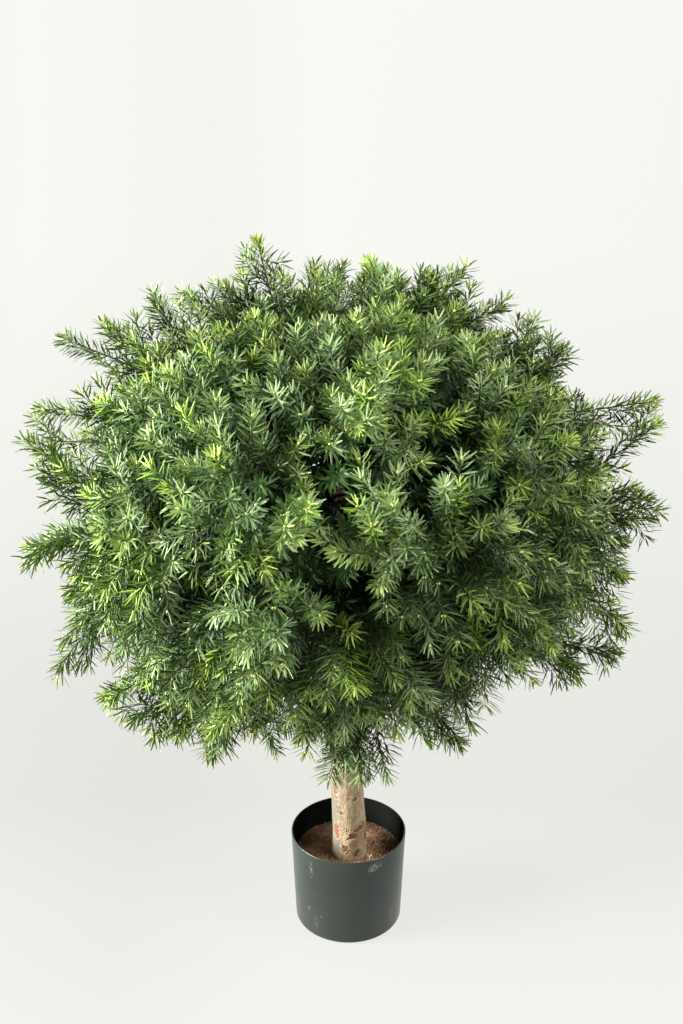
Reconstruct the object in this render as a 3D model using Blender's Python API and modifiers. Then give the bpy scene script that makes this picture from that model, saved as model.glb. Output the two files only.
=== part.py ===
"""Ball-headed topiary tree: a bark-covered stem in a plain pot, under a crown of yew-like needle shoots.

A Blender 4.5 script in metres, +Z up. The origin is the middle of the pot's flat underside.
The crown is parted into cells by directions from its middle. A bough ends in each cell, and the cell's mass
of foliage keeps to it: a stem, a flattened core where the twigs crowd, and shoots with needles all round.
"""

import math
import random

import bmesh
import bpy
from mathutils import Matrix, Vector

SEED = 7
GAP = 0.0003  # between pieces that touch

# Pot: a plain tapering tub with a rounded bottom edge.
POT_RIM_RADIUS = 0.100
POT_FOOT_RADIUS = 0.0933
POT_HEIGHT = 0.175
POT_WALL = 0.0024
POT_FLOOR = 0.003
POT_EDGE = 0.006  # radius of the rounded bottom edge
POT_EDGE_STEPS = 3
POT_STEPS = 36
FILL_LEVEL = 0.128

# Trunk: height, sideways lean, depth lean and radius at each knot, from the flat foot to the tip.
TRUNK_FOOT = FILL_LEVEL + GAP
TRUNK_KNOTS = (
    (TRUNK_FOOT, 0.0020, 0.000, 0.0300),
    (0.165, 0.0020, 0.000, 0.0295),
    (0.300, -0.0040, 0.001, 0.0268),
    (0.460, -0.0085, -0.001, 0.0245),
    (0.640, -0.0120, 0.001, 0.0210),
    (0.870, -0.0130, 0.000, 0.0165),
)
TRUNK_BEVEL = 4  # twelve sides

# Crown: half sizes of its rounded body about its middle, and how square its outline is.
CROWN_MIDDLE = Vector((-0.008, 0.0, 0.785))
CROWN_HALF_WIDTH = 0.455
CROWN_RISE = 0.350
CROWN_DROP = 0.350
CROWN_SQUARENESS = 2.3

# The crown's outline as it is seen from in front and somewhat above. Turns run round it from the right, over
# the top. Its body swells and shrinks at even steps of turn, and long shoots stand out of it, each given by
# its turn in degrees and its reach. Every second one has a twin, a quarter turn round the trunk.
OUTLINE_RISE = math.radians(23)
OUTLINE_DISTANCE = 2.26
SWELLINGS = (
    -0.060, -0.050, -0.040, -0.025, -0.035, -0.075, -0.025, -0.035, -0.040,
    -0.025, -0.030, -0.015, -0.040, -0.045, -0.075, -0.085, -0.040, -0.065,
)
SWELLING_SPREAD = math.radians(13)
LONG_SHOOTS = (
    (2, 0.495), (13, 0.525), (19, 0.530), (36, 0.445), (45, 0.430), (52, 0.420), (64, 0.435),
    (70, 0.410), (84, 0.395), (98, 0.400), (108, 0.460), (118, 0.415), (126, 0.435), (132, 0.460),
    (142, 0.500), (149, 0.530), (162, 0.520), (167, 0.530), (175, 0.490), (187, 0.515), (198, 0.465),
    (209, 0.525), (218, 0.495), (225, 0.490), (231, 0.470), (242, 0.460), (254, 0.415), (267, 0.445),
    (273, 0.445), (281, 0.445), (290, 0.410), (299, 0.430), (322, 0.455), (332, 0.500), (337, 0.490),
    (346, 0.465), (353, 0.460), (358, 0.500),
)
LONG_SHOOT_ROOM = math.radians(7.5)  # around each, that the other shoots leave free
LUMP_HEIGHT = 0.022  # of the low waves all over the body
LUMP_WAVES = (9, 8, 7)  # in radians over a unit step of x, y and z
LUMP_SHIFTS = (1, 2, 3)

# Boughs: one to each mass, from the trunk at rising heights.
MASS_COUNT = 24
LOWEST_BOUGH = 0.455
HIGHEST_BOUGH = 0.800
BOUGH_RADIUS = 0.0068
BOUGH_TIP_TAPER = 0.62
BOUGH_SHOULDER = Vector((0.034, 0.0, 0.022))  # out from the axis and up, where a bough has left the trunk
LEADER_RISE = 0.022  # of the first bough, straight up from the trunk's tip
LEADER_BEND = 0.62  # where it turns outward, as a share of its length
LEADER_BEND_RISE = 0.006
BOUGH_BEND = 0.100  # from the crown's middle to the bough's last bend
BOUGH_REACH = 0.170  # from the crown's middle to the bough's tip

# Masses: their cells' directions and walls, and the flattened core.
LOWEST_MASS_SINE = -0.80
CELL_MARGIN = 0.0015
CORE_DEPTH_SHARE = 0.69  # how far out the core's middle lies, as a share of the crown's reach there
CORE_HALF_WIDTH = 0.115
CORE_HALF_DEPTH = 0.023
TUFT_LENGTHS = (0.038, 0.062)  # of the pointed tufts that stand out of the core's outer side
TUFT_SPLAY = 0.40  # how much of a tuft's direction is the core's own slope there
TUFT_SIDE = 0.35  # least cosine between the cell's direction and a slope that bears a tuft
TUFT_SPACE = 0.024  # between a tuft and the shoots that pass it

# Shoots: their number over the whole crown, their bends, and their slim three-sided core.
SHOOT_COUNT = 140
LOWEST_SHOOT_SINE = -0.93
SHOOT_RINGS = 4
SHOOT_RADIUS = 0.0052
SHOOT_TIP_TAPER = 0.30
SHOOT_TWIST = math.radians(290)
SHOOT_ROOT_SPREAD = 0.45  # how far from the core's middle a shoot is rooted, as a share of its tip's way
SHOOT_ROOT_LIMIT = 0.70 * CORE_HALF_WIDTH
SHOOT_ROOT_SPARE = 0.10  # the same share, where the first one leaves the cell
SHOOT_GUIDE = 0.45  # where along a shoot its bend is guided
SHOOT_ARCH = 0.12  # how far out the guide lies, as a share of the shoot's length
SHOOT_JITTER = 0.045
BARE_SHARE = 0.38  # of a shoot's length, at its root

# Needles, larger than life because each stands for several.
NEEDLE_LENGTH = 0.050
NEEDLE_ANGLE = math.radians(52)
NEEDLE_TIP_ANGLE = math.radians(26)
NEEDLE_SHORTENING = 0.35  # toward the shoot's tip
NEEDLE_OVERHANG = 0.024  # of the last needles past the end of their shoot

# Tests of the free space.
LIMB_CLEARANCE = 0.005
TEST_SHARES = (0.0, 0.35, 0.7, 1.0)  # where a straight piece is tested
TEST_STRETCHES = 8  # of a bent shoot
PULL_STEPS = 20
PULL_SHARE = 0.08

COLOURS = {
    "pot": (0.050, 0.062, 0.052, 1.0),
    "fill": (0.055, 0.028, 0.016, 1.0),
    "bark": (0.430, 0.310, 0.200, 1.0),
    "foliage": (0.105, 0.165, 0.055, 1.0),
}
ROUGHNESS = {"pot": 0.42, "fill": 0.95, "bark": 0.85, "foliage": 0.55}

GOLDEN_ANGLE = math.pi * (3 - math.sqrt(5))


def remove_all_objects():
    for item in list(bpy.data.objects):
        bpy.data.objects.remove(item, do_unlink=True)


def new_collection(name):
    collection = bpy.data.collections.new(name)
    bpy.context.scene.collection.children.link(collection)
    return collection


def new_material(name):
    """A plain Principled surface with the colour and roughness of one of the tree's stuffs."""
    material = bpy.data.materials.new(name)
    material.use_nodes = True
    shader = material.node_tree.nodes["Principled BSDF"]
    shader.inputs["Base Color"].default_value = COLOURS[name]
    shader.inputs["Roughness"].default_value = ROUGHNESS[name]
    shader.inputs["Metallic"].default_value = 0.0
    return material


def new_object(name, mesh, collection, material=None):
    item = bpy.data.objects.new(name, mesh)
    collection.objects.link(item)
    if material:
        mesh.materials.append(material)
    return item


def mesh_from(bm, name):
    """Ends a bmesh and gives its mesh, with the faces pointing out."""
    bmesh.ops.recalc_face_normals(bm, faces=bm.faces)
    mesh = bpy.data.meshes.new(name)
    bm.to_mesh(mesh)
    bm.free()
    return mesh


def outline_direction(turn, reach):
    """The way from the crown's middle to a point of its outline, from its turn in degrees and its reach."""
    x = math.cos(math.radians(turn))
    y = math.sin(math.radians(turn))
    across = Vector((x, y * math.sin(OUTLINE_RISE), y * math.cos(OUTLINE_RISE)))
    nearer = Vector((0.0, -math.cos(OUTLINE_RISE), math.sin(OUTLINE_RISE)))
    share = reach / OUTLINE_DISTANCE
    return across * math.sqrt(1 - share * share) + nearer * share


def spiral(count, lowest_sine):
    """Directions spread evenly by the golden angle, from the top down to the lowest elevation's sine."""
    for k in range(count):
        sine = 1 - (k + 0.5) * (1 - lowest_sine) / count
        flat = math.sqrt(1 - sine * sine)
        yield Vector((flat * math.cos(k * GOLDEN_ANGLE), flat * math.sin(k * GOLDEN_ANGLE), sine))


def crown_reach(direction):
    """How far the crown's surface lies from its middle in a direction."""
    x, y, z = direction
    flat = math.hypot(x, y) / CROWN_HALF_WIDTH
    steep = abs(z) / (CROWN_RISE if z > 0 else CROWN_DROP)
    reach = (flat**CROWN_SQUARENESS + steep**CROWN_SQUARENESS) ** (-1 / CROWN_SQUARENESS)
    waves = zip(LUMP_WAVES, direction, LUMP_SHIFTS)
    reach += LUMP_HEIGHT * math.prod(math.sin(wave * step + shift) for wave, step, shift in waves)
    for k, height in enumerate(SWELLINGS):
        way = outline_direction(k * 360 / len(SWELLINGS), CROWN_HALF_WIDTH)
        turn = direction.angle(way) / SWELLING_SPREAD
        reach += height * math.exp(-turn * turn)
    return reach


def long_shoots():
    """The ways to the tips of the long shoots, twins and all, with their reaches."""
    shoots = [(outline_direction(turn, reach), reach) for turn, reach in LONG_SHOOTS]
    twins = [(Vector((way.y, -way.x, way.z)), reach) for way, reach in shoots[1::2]]
    return shoots + twins


# ---------------------------------------------------------------- pot and fill


def turned(name, profile, collection, material, steps):
    """A solid of revolution from a profile of (radius, height) points that starts and ends on the axis."""
    mesh = bpy.data.meshes.new(name)
    points = [(radius, 0.0, height) for radius, height in profile]
    mesh.from_pydata(points, [(i, i + 1) for i in range(len(points) - 1)], [])
    item = new_object(name, mesh, collection, material)
    screw = item.modifiers.new("turn", "SCREW")
    screw.steps = steps
    screw.render_steps = steps
    screw.use_merge_vertices = True
    screw.merge_threshold = 0.0001
    screw.use_smooth_shade = True
    return item


def wall_radius(height):
    """The pot's outer radius at a height."""
    return POT_FOOT_RADIUS + (POT_RIM_RADIUS - POT_FOOT_RADIUS) * height / POT_HEIGHT


def make_pot(collection, material):
    """The tub, drawn from its inside floor over the rim and down to the middle of its underside."""
    inside_foot = wall_radius(POT_FLOOR) - POT_WALL
    inside_rim = POT_RIM_RADIUS - POT_WALL
    rim_round = POT_WALL / 4
    profile = [(0.0, POT_FLOOR), (inside_foot, POT_FLOOR), (inside_rim, POT_HEIGHT - rim_round)]
    profile += [(inside_rim + rim_round, POT_HEIGHT), (POT_RIM_RADIUS - rim_round, POT_HEIGHT)]
    profile += [(POT_RIM_RADIUS, POT_HEIGHT - rim_round)]
    corner = wall_radius(0) - POT_EDGE
    for step in range(POT_EDGE_STEPS + 1):
        turn = math.pi / 2 * step / POT_EDGE_STEPS
        profile.append((corner + POT_EDGE * math.cos(turn), POT_EDGE * (1 - math.sin(turn))))
    profile += [(0.0, 0.0)]
    return turned("pot", profile, collection, material, POT_STEPS)


def make_fill(collection, material):
    """What weights the pot: a plug that stands clear of the wall by the gap, flat on top."""
    clear = POT_WALL + 2 * GAP
    bottom = POT_FLOOR + GAP
    profile = [(0.0, FILL_LEVEL), (wall_radius(FILL_LEVEL) - clear, FILL_LEVEL)]
    profile += [(wall_radius(bottom) - clear, bottom), (0.0, bottom)]
    return turned("fill", profile, collection, material, POT_STEPS)


# ---------------------------------------------------------------- trunk and boughs


def limb(name, points, radii, bevel, collection, material):
    """A round tapering limb along a run of points, as one closed mesh."""
    curve = bpy.data.curves.new(name, "CURVE")
    curve.dimensions = "3D"
    curve.bevel_depth = radii[0]
    curve.bevel_resolution = bevel
    curve.use_fill_caps = True
    spline = curve.splines.new("POLY")
    spline.points.add(len(points) - 1)
    for knot, point, radius in zip(spline.points, points, radii):
        knot.co = (*point, 1.0)
        knot.radius = radius / radii[0]
    rod = new_object(name + "_curve", curve, collection)
    bpy.context.view_layer.update()
    evaluated = rod.evaluated_get(bpy.context.evaluated_depsgraph_get())
    mesh = bpy.data.meshes.new_from_object(evaluated)
    bm = bmesh.new()
    bm.from_mesh(mesh)
    bmesh.ops.remove_doubles(bm, verts=bm.verts, dist=0.00001)
    bpy.data.meshes.remove(mesh)
    mesh = mesh_from(bm, name)
    item = new_object(name, mesh, collection, material)
    item.matrix_world = rod.matrix_world
    bpy.data.objects.remove(rod)
    mesh.shade_smooth()
    mesh.set_sharp_from_angle(angle=math.radians(60))
    return item


def trunk_points():
    return [Vector((x, y, height)) for height, x, y, radius in TRUNK_KNOTS]


def trunk_at(height):
    """The middle of the trunk at a height."""
    points = trunk_points()
    for low, high in zip(points, points[1:]):
        if height <= high.z:
            return low.lerp(high, (height - low.z) / (high.z - low.z))
    return points[-1].copy()


def bough_points(index, direction):
    """The bends of a bough: out of the trunk, round to its mass's direction, and on to its tip."""
    last = [CROWN_MIDDLE + direction * BOUGH_BEND, CROWN_MIDDLE + direction * BOUGH_REACH]
    if index == 0:  # the leader goes on from the cut end of the trunk
        top = trunk_points()[-1] + Vector((0, 0, GAP))
        bend = top.lerp(last[1], LEADER_BEND) + Vector((0, 0, LEADER_BEND_RISE))
        return [top, top + Vector((0, 0, LEADER_RISE)), bend, last[1]]
    share = (index - 1) / (MASS_COUNT - 2)
    base = trunk_at(HIGHEST_BOUGH + (LOWEST_BOUGH - HIGHEST_BOUGH) * share)
    turn = Matrix.Rotation(math.atan2(direction.y, direction.x), 3, "Z")
    return [base, base + turn @ BOUGH_SHOULDER] + last


def taper(count):
    """The radii of a bough at its bends, from its base to its tip."""
    return [BOUGH_RADIUS * (1 - (1 - BOUGH_TIP_TAPER) * i / (count - 1)) for i in range(count)]


def cut_by(item, cutter):
    cut = item.modifiers.new("clear_of_trunk", "BOOLEAN")
    cut.operation = "DIFFERENCE"
    cut.solver = "EXACT"
    cut.object = cutter


def limb_segments(boughs):
    """Every straight stretch of the trunk and boughs: its two ends and its larger radius."""
    runs = [(trunk_points(), [knot[3] for knot in TRUNK_KNOTS])]
    runs += [(points, taper(len(points))) for points in boughs]
    for points, radii in runs:
        for k in range(len(points) - 1):
            yield points[k], points[k + 1], radii[k]


def distance_to_segment(point, start, end):
    along = end - start
    share = max(0.0, min(1.0, (point - start).dot(along) / along.length_squared))
    return (point - start - along * share).length


# ---------------------------------------------------------------- foliage


class Cell:
    """The space of one mass: nearer to its own direction than to any other, and clear of the limbs."""

    def __init__(self, index, directions, limbs):
        self.direction = directions[index]
        others = [d for k, d in enumerate(directions) if k != index]
        self.walls = [(self.direction - other).normalized() for other in others]
        self.limbs = limbs
        self.core = CROWN_MIDDLE + self.direction * crown_reach(self.direction) * CORE_DEPTH_SHARE

    def holds(self, point, margin=CELL_MARGIN):
        return all((point - CROWN_MIDDLE).dot(wall) >= margin for wall in self.walls)

    def is_free(self, start, end, margin):
        """Whether a straight piece from start to end stays in the cell and touches no limb."""
        for share in TEST_SHARES:
            point = start.lerp(end, share)
            if not self.holds(point, CELL_MARGIN + margin):
                return False
            for low, high, radius in self.limbs:
                if distance_to_segment(point, low, high) < radius + LIMB_CLEARANCE + margin:
                    return False
        return True

    def pulled_in(self, target, margin):
        """The target, moved toward the middle of the cell until it lies inside."""
        length = (target - CROWN_MIDDLE).length
        for step in range(PULL_STEPS):
            if self.holds(target, margin):
                return target
            aim = (target - CROWN_MIDDLE).normalized().lerp(self.direction, PULL_SHARE)
            target = CROWN_MIDDLE + aim.normalized() * length
        return target


class Path:
    """A bend from a root past a guide point to a tip, with a frame that turns along with it."""

    def __init__(self, root, guide, tip):
        self.root, self.guide, self.tip = root, guide, tip
        self.start = (guide - root).normalized()
        self.frame = self.start.to_track_quat("Z", "Y")

    def point(self, share):
        return self.root.lerp(self.guide, share).lerp(self.guide.lerp(self.tip, share), share)

    def tangent(self, share):
        return (self.guide - self.root).lerp(self.tip - self.guide, share).normalized()

    def distance(self, point):
        """How far a point lies from the path, taken in two straight stretches."""
        middle = self.point(0.5)
        near = distance_to_segment(point, self.root, middle)
        return min(near, distance_to_segment(point, middle, self.tip))

    def across(self, share, x, y):
        """A sideways step at a share of the path."""
        turn = self.start.rotation_difference(self.tangent(share))
        return turn @ (self.frame @ Vector((x, y, 0.0)))


def core_mesh(cell, paths, rng):
    """A flattened ball pressed in from the walls of its cell, with pointed tufts on its outer side."""
    bm = bmesh.new()
    bmesh.ops.create_icosphere(bm, subdivisions=2, radius=1.0)
    frame = cell.direction.to_track_quat("Z", "Y")
    for vert in bm.verts:
        x, y, z = vert.co
        step = frame @ Vector((x * CORE_HALF_WIDTH, y * CORE_HALF_WIDTH, z * CORE_HALF_DEPTH))
        for wall in cell.walls:
            room = (cell.core - CROWN_MIDDLE).dot(wall) - CELL_MARGIN
            toward = -step.dot(wall)
            if toward > room:
                step *= room / toward
        vert.co = cell.core + step
    bm.normal_update()
    for face in [f for f in bm.faces if f.normal.dot(cell.direction) > TUFT_SIDE]:
        middle = face.calc_center_median()
        aim = (face.normal * TUFT_SPLAY + cell.direction * (1 - TUFT_SPLAY)).normalized()
        tip = middle + aim * rng.uniform(*TUFT_LENGTHS)
        crowded = any(min(path.distance(middle), path.distance(tip)) < TUFT_SPACE for path in paths)
        if not crowded and cell.is_free(middle, tip, 0.0):
            poked = bmesh.ops.poke(bm, faces=[face])
            poked["verts"][0].co = tip
    return mesh_from(bm, "core")


def stem_mesh(bough, cell):
    """The short stem that goes on from the bough's tip into the core."""
    along = (bough[-1] - bough[-2]).normalized()
    start = bough[-1] + along * GAP
    length = (cell.core - start).length
    radius = BOUGH_RADIUS * BOUGH_TIP_TAPER
    place = Matrix.Translation(start) @ along.to_track_quat("Z", "Y").to_matrix().to_4x4()
    bm = bmesh.new()
    bmesh.ops.create_cone(
        bm,
        cap_ends=True,
        segments=6,
        radius1=radius,
        radius2=radius * 0.8,
        depth=length,
        matrix=place @ Matrix.Translation((0, 0, length / 2)),
    )
    return mesh_from(bm, "stem")


def shoot_mesh(path, cell):
    """A slim core along a path, with a needle drawn out of each of its sides, station by station."""
    bm = bmesh.new()
    bmesh.ops.create_cone(bm, cap_ends=True, segments=3, radius1=1.0, radius2=SHOOT_TIP_TAPER, depth=1.0)
    lengthwise = [e for e in bm.edges if abs(e.verts[0].co.z - e.verts[1].co.z) > 0.5]
    bmesh.ops.subdivide_edges(bm, edges=lengthwise, cuts=SHOOT_RINGS, use_grid_fill=True)
    shares = {}
    for vert in bm.verts:
        share = vert.co.z + 0.5
        around = Matrix.Rotation(share * SHOOT_TWIST, 2) @ Vector((vert.co.x, vert.co.y)) * SHOOT_RADIUS
        vert.co = path.point(share) + path.across(share, around.x, around.y)
        shares[vert] = share
    bm.normal_update()
    for face in [f for f in bm.faces if len(f.verts) == 4]:
        share = sum(shares[vert] for vert in face.verts) / 4
        if share < BARE_SHARE:
            continue
        middle = face.calc_center_median()
        lean = NEEDLE_ANGLE + (NEEDLE_TIP_ANGLE - NEEDLE_ANGLE) * share * share
        outward = face.normal * math.sin(lean) + path.tangent(share) * math.cos(lean)
        tip = middle + outward * NEEDLE_LENGTH * (1 - NEEDLE_SHORTENING * share * share)
        if cell.is_free(middle, tip, 0.0):
            poked = bmesh.ops.poke(bm, faces=[face])
            poked["verts"][0].co = tip
    return mesh_from(bm, "shoot")


def shoot_path(cell, target):
    """The way to a target from the side of the core that lies under it, or None where there is no room."""
    pull = target - cell.core
    sideways = pull - cell.direction * pull.dot(cell.direction)
    root = cell.core + sideways.normalized() * min(sideways.length * SHOOT_ROOT_SPREAD, SHOOT_ROOT_LIMIT)
    if not cell.holds(root, 2 * SHOOT_RADIUS):
        root = cell.core + sideways * SHOOT_ROOT_SPARE
    tip = cell.pulled_in(target, 2 * SHOOT_RADIUS)
    guide = root.lerp(tip, SHOOT_GUIDE) + cell.direction * (tip - root).length * SHOOT_ARCH
    path = Path(root, guide, tip)
    stations = [path.point(step / TEST_STRETCHES) for step in range(TEST_STRETCHES + 1)]
    for start, end in zip(stations, stations[1:]):
        if not cell.is_free(start, end, SHOOT_RADIUS):
            return None
    return path


def largest_body(mesh):
    """Drops loose scraps and fills sealed hollows, by keeping only the body with the most faces."""
    bm = bmesh.new()
    bm.from_mesh(mesh)
    left = set(bm.verts)
    bodies = []
    while left:
        body = {left.pop()}
        edge_of_body = list(body)
        while edge_of_body:
            vert = edge_of_body.pop()
            for edge in vert.link_edges:
                other = edge.other_vert(vert)
                if other in left:
                    left.discard(other)
                    body.add(other)
                    edge_of_body.append(other)
        bodies.append(body)
    bodies.sort(key=len, reverse=True)
    for body in bodies[1:]:
        bmesh.ops.delete(bm, geom=list(body), context="VERTS")
    bm.to_mesh(mesh)
    bm.free()


def fuse(name, meshes, collection, material):
    """Joins closed meshes that run into each other into one, by one Boolean union on a collection."""
    helpers = new_collection(name + "_pieces")
    for mesh in meshes[1:]:
        new_object(mesh.name, mesh, helpers)
    item = new_object(name, meshes[0], collection, material)
    union = item.modifiers.new("fuse", "BOOLEAN")
    union.operation = "UNION"
    union.operand_type = "COLLECTION"
    union.collection = helpers
    union.solver = "EXACT"
    bpy.context.view_layer.update()
    fused = bpy.data.meshes.new_from_object(item.evaluated_get(bpy.context.evaluated_depsgraph_get()))
    item.modifiers.remove(union)
    for piece in list(helpers.objects):
        bpy.data.objects.remove(piece)
    bpy.data.collections.remove(helpers)
    largest_body(fused)
    fused.name = name
    item.data = fused
    return item


def shoot_targets(rng):
    """Where the shoots' tips reach: an even spread over the crown that leaves room for the long shoots."""
    longest = long_shoots()
    aims = []
    for direction in spiral(SHOOT_COUNT, LOWEST_SHOOT_SINE):
        reach = crown_reach(direction) * (1 + rng.uniform(-1, 1) * SHOOT_JITTER)
        if all(direction.angle(way) >= LONG_SHOOT_ROOM for way, _ in longest):
            aims.append((direction, reach))
    return aims + longest


def make_tree():
    rng = random.Random(SEED)
    tree = new_collection("ball_topiary")
    cutters = new_collection("cutters")
    bark = new_material("bark")
    leafy = new_material("foliage")

    make_pot(tree, new_material("pot"))
    make_fill(tree, new_material("fill"))

    points = trunk_points()
    radii = [knot[3] for knot in TRUNK_KNOTS]
    limb("trunk", points, radii, TRUNK_BEVEL, tree, bark)
    around_trunk = limb("around_trunk", points, [r + GAP for r in radii], TRUNK_BEVEL, cutters, None)
    around_trunk.hide_render = True
    around_trunk.display_type = "WIRE"

    directions = list(spiral(MASS_COUNT, LOWEST_MASS_SINE))
    boughs = [bough_points(k, direction) for k, direction in enumerate(directions)]
    for k, bends in enumerate(boughs):
        bough = limb(f"bough_{k + 1:02d}", bends, taper(len(bends)), 1, tree, bark)
        if k:
            cut_by(bough, around_trunk)

    limbs = list(limb_segments(boughs))
    cells = [Cell(k, directions, limbs) for k in range(MASS_COUNT)]
    paths = [[] for cell in cells]
    for direction, reach in shoot_targets(rng):
        home = max(range(MASS_COUNT), key=lambda k: directions[k].dot(direction))
        path = shoot_path(cells[home], CROWN_MIDDLE + direction * (reach - NEEDLE_OVERHANG))
        if path:
            paths[home].append(path)
    for k, cell in enumerate(cells):
        pieces = [core_mesh(cell, paths[k], rng), stem_mesh(boughs[k], cell)]
        pieces += [shoot_mesh(path, cell) for path in paths[k]]
        fuse(f"foliage_{k + 1:02d}", pieces, tree, leafy)


def main():
    remove_all_objects()
    make_tree()


if __name__ == "__main__":
    main()
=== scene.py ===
"""Dresses the ball topiary tree: needle sprays, bark, pot and coir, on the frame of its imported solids.

Laid out as an add-on and run as a script. Metres, +Z up, the origin under the middle of the pot.
"""

import math

import bpy
import numpy as np
from bpy.props import FloatProperty, FloatVectorProperty, IntProperty, PointerProperty
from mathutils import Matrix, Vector, noise


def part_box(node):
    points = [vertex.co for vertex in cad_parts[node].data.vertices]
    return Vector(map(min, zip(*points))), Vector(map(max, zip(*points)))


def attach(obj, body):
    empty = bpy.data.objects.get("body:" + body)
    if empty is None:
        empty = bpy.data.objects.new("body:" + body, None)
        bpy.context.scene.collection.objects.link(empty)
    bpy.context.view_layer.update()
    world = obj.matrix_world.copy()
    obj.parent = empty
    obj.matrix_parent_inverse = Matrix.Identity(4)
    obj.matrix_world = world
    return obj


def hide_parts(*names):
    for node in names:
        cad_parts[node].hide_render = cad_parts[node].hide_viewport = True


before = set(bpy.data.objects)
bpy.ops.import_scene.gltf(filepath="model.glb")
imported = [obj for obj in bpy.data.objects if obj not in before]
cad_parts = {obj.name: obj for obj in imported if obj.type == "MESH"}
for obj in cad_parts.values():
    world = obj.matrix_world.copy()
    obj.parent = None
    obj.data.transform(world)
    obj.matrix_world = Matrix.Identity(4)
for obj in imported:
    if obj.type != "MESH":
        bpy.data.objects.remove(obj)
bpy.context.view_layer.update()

bl_info = {
    "name": "Ball Topiary Tree",
    "version": (1, 0, 0),
    "blender": (4, 5, 0),
    "location": "3D View > Sidebar > Topiary",
    "description": "Dresses a ball-headed topiary tree with needle sprays, bark, a pot and its fill",
    "category": "Add Mesh",
}

BODY = "root"
SEED = 15
FULL_TURN = 2 * math.pi
GOLDEN_ANGLE = math.pi * (3 - math.sqrt(5))
STEEP = 0.8  # a way that climbs or falls by more than this takes its side from x, and any other from z
SHORTEST_VECTOR = 1e-9

# ---- the crown's shape: the rule of the part's source written again, with a few long shoots moved a little

TRUNK_KNOTS = np.array(
    (
        (0.0020, 0.000, 0.1283, 0.0300),
        (0.0020, 0.000, 0.1650, 0.0295),
        (-0.0040, 0.001, 0.3000, 0.0268),
        (-0.0085, -0.001, 0.4600, 0.0245),
        (-0.0120, 0.001, 0.6400, 0.0210),
        (-0.0130, 0.000, 0.8700, 0.0165),
    )
)  # x, y, height and radius

CROWN_MIDDLE = np.array((-0.008, 0.0, 0.785))
CROWN_HALF_WIDTH = 0.455
CROWN_RISE = 0.350
CROWN_DROP = 0.350
CROWN_SQUARENESS = 2.3

# The crown's outline as it is seen from in front and somewhat above. Turns run round it from the right, over
# the top. Its body swells and shrinks at even steps of turn, and long shoots stand out of it, each given by
# its turn in degrees and its reach. Every second one has a twin, a quarter turn round the trunk.
OUTLINE_RISE = math.radians(23)
OUTLINE_DISTANCE = 2.26
SWELLINGS = (
    -0.060, -0.050, -0.040, -0.025, -0.035, -0.075, -0.025, -0.035, -0.040,
    -0.025, -0.030, -0.015, -0.040, -0.045, -0.075, -0.085, -0.040, -0.065,
)
SWELLING_SPREAD = math.radians(13)
LUMP_HEIGHT = 0.022  # of the low waves all over the body
LUMP_WAVES = (9, 8, 7)
LUMP_SHIFTS = (1, 2, 3)
LONG_SHOOTS = (
    (2, 0.495), (15, 0.525), (19, 0.530), (36, 0.445), (45, 0.430), (52, 0.420), (64, 0.430),
    (70, 0.410), (84, 0.395), (98, 0.400), (108, 0.462), (118, 0.415), (126, 0.435), (132, 0.460),
    (142, 0.480), (149, 0.530), (162, 0.520), (168, 0.515), (175, 0.490), (187, 0.515), (198, 0.465),
    (209, 0.525), (218, 0.495), (225, 0.490), (231, 0.470), (242, 0.460), (254, 0.415), (267, 0.445),
    (273, 0.445), (279, 0.445), (290, 0.410), (296, 0.435), (325, 0.455), (332, 0.500), (337, 0.490),
    (346, 0.465), (353, 0.460), (358, 0.500),
)
LONG_SHOOT_SPREAD = math.radians(7)
LONG_SHOOT_ROOM = math.radians(4.2)  # that other twigs leave free round each one, but not round its twin

# Where the sky cuts into the outline: turn in degrees and depth.
SKY_NOTCHES = ((251, 0.085), (286, 0.075), (311, 0.110), (80, 0.030), (28, 0.030))
SKY_NOTCH_SPREAD = math.radians(6)
SKY_NOTCH_RUN = 0.45

# Sprays that stand out or lie back in front: azimuth and elevation in degrees, and height.
FRONT_RELIEF = (
    (-83, 19, 0.048), (-81, 46, 0.030), (-106, -2, 0.025), (-94, 24, 0.015), (-71, 11, -0.045),
    (-89, 1, -0.042), (-103, 50, -0.050), (-121, -1, -0.040), (-106, 27, -0.035), (-118, 22, -0.025),
)
RELIEF_SPREAD = math.radians(7.5)

# Masses and boughs.
MASS_COUNT = 24
LOWEST_MASS_SINE = -0.80
CORE_DEPTH_SHARE = 0.69
LOWEST_BOUGH = 0.455
HIGHEST_BOUGH = 0.800
BOUGH_RADIUS = 0.0068
BOUGH_TIP_TAPER = 0.62
BOUGH_SHOULDER = (0.034, 0.022)  # out and up, where a bough has left the trunk
LEADER_RISE = 0.022
LEADER_BEND = 0.62
LEADER_BEND_RISE = 0.006
BOUGH_BEND = 0.100
BOUGH_REACH = 0.170
LIMB_STEPS = 9  # from each bend of a bough to the next
LIMB_SIDES = 12
LIMB_LUMPS = 0.14

# Twigs and inner shoots.
LOWEST_SHOOT_SINE = -0.93
SHOOT_GUIDE = 0.45
SHOOT_ARCH = 0.12
TWIG_REACH = (-0.042, 0.002)  # past the shoots' limit, before the needles' overhang is taken off
TWIG_ROOTS = (0.25, 1.0)  # shares of the stem
TWIG_JITTER = 0.006
TWIG_TURN_SINE = 0.18  # twigs above it turn up toward their tips, and twigs below it turn down
TWIG_TURN_DEPTH = 0.30
TWIG_BEND = 0.24
INNER_ROOTS = (-0.6, 0.8)  # below 0, back along the bough
INNER_JITTER = 0.015

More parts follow.
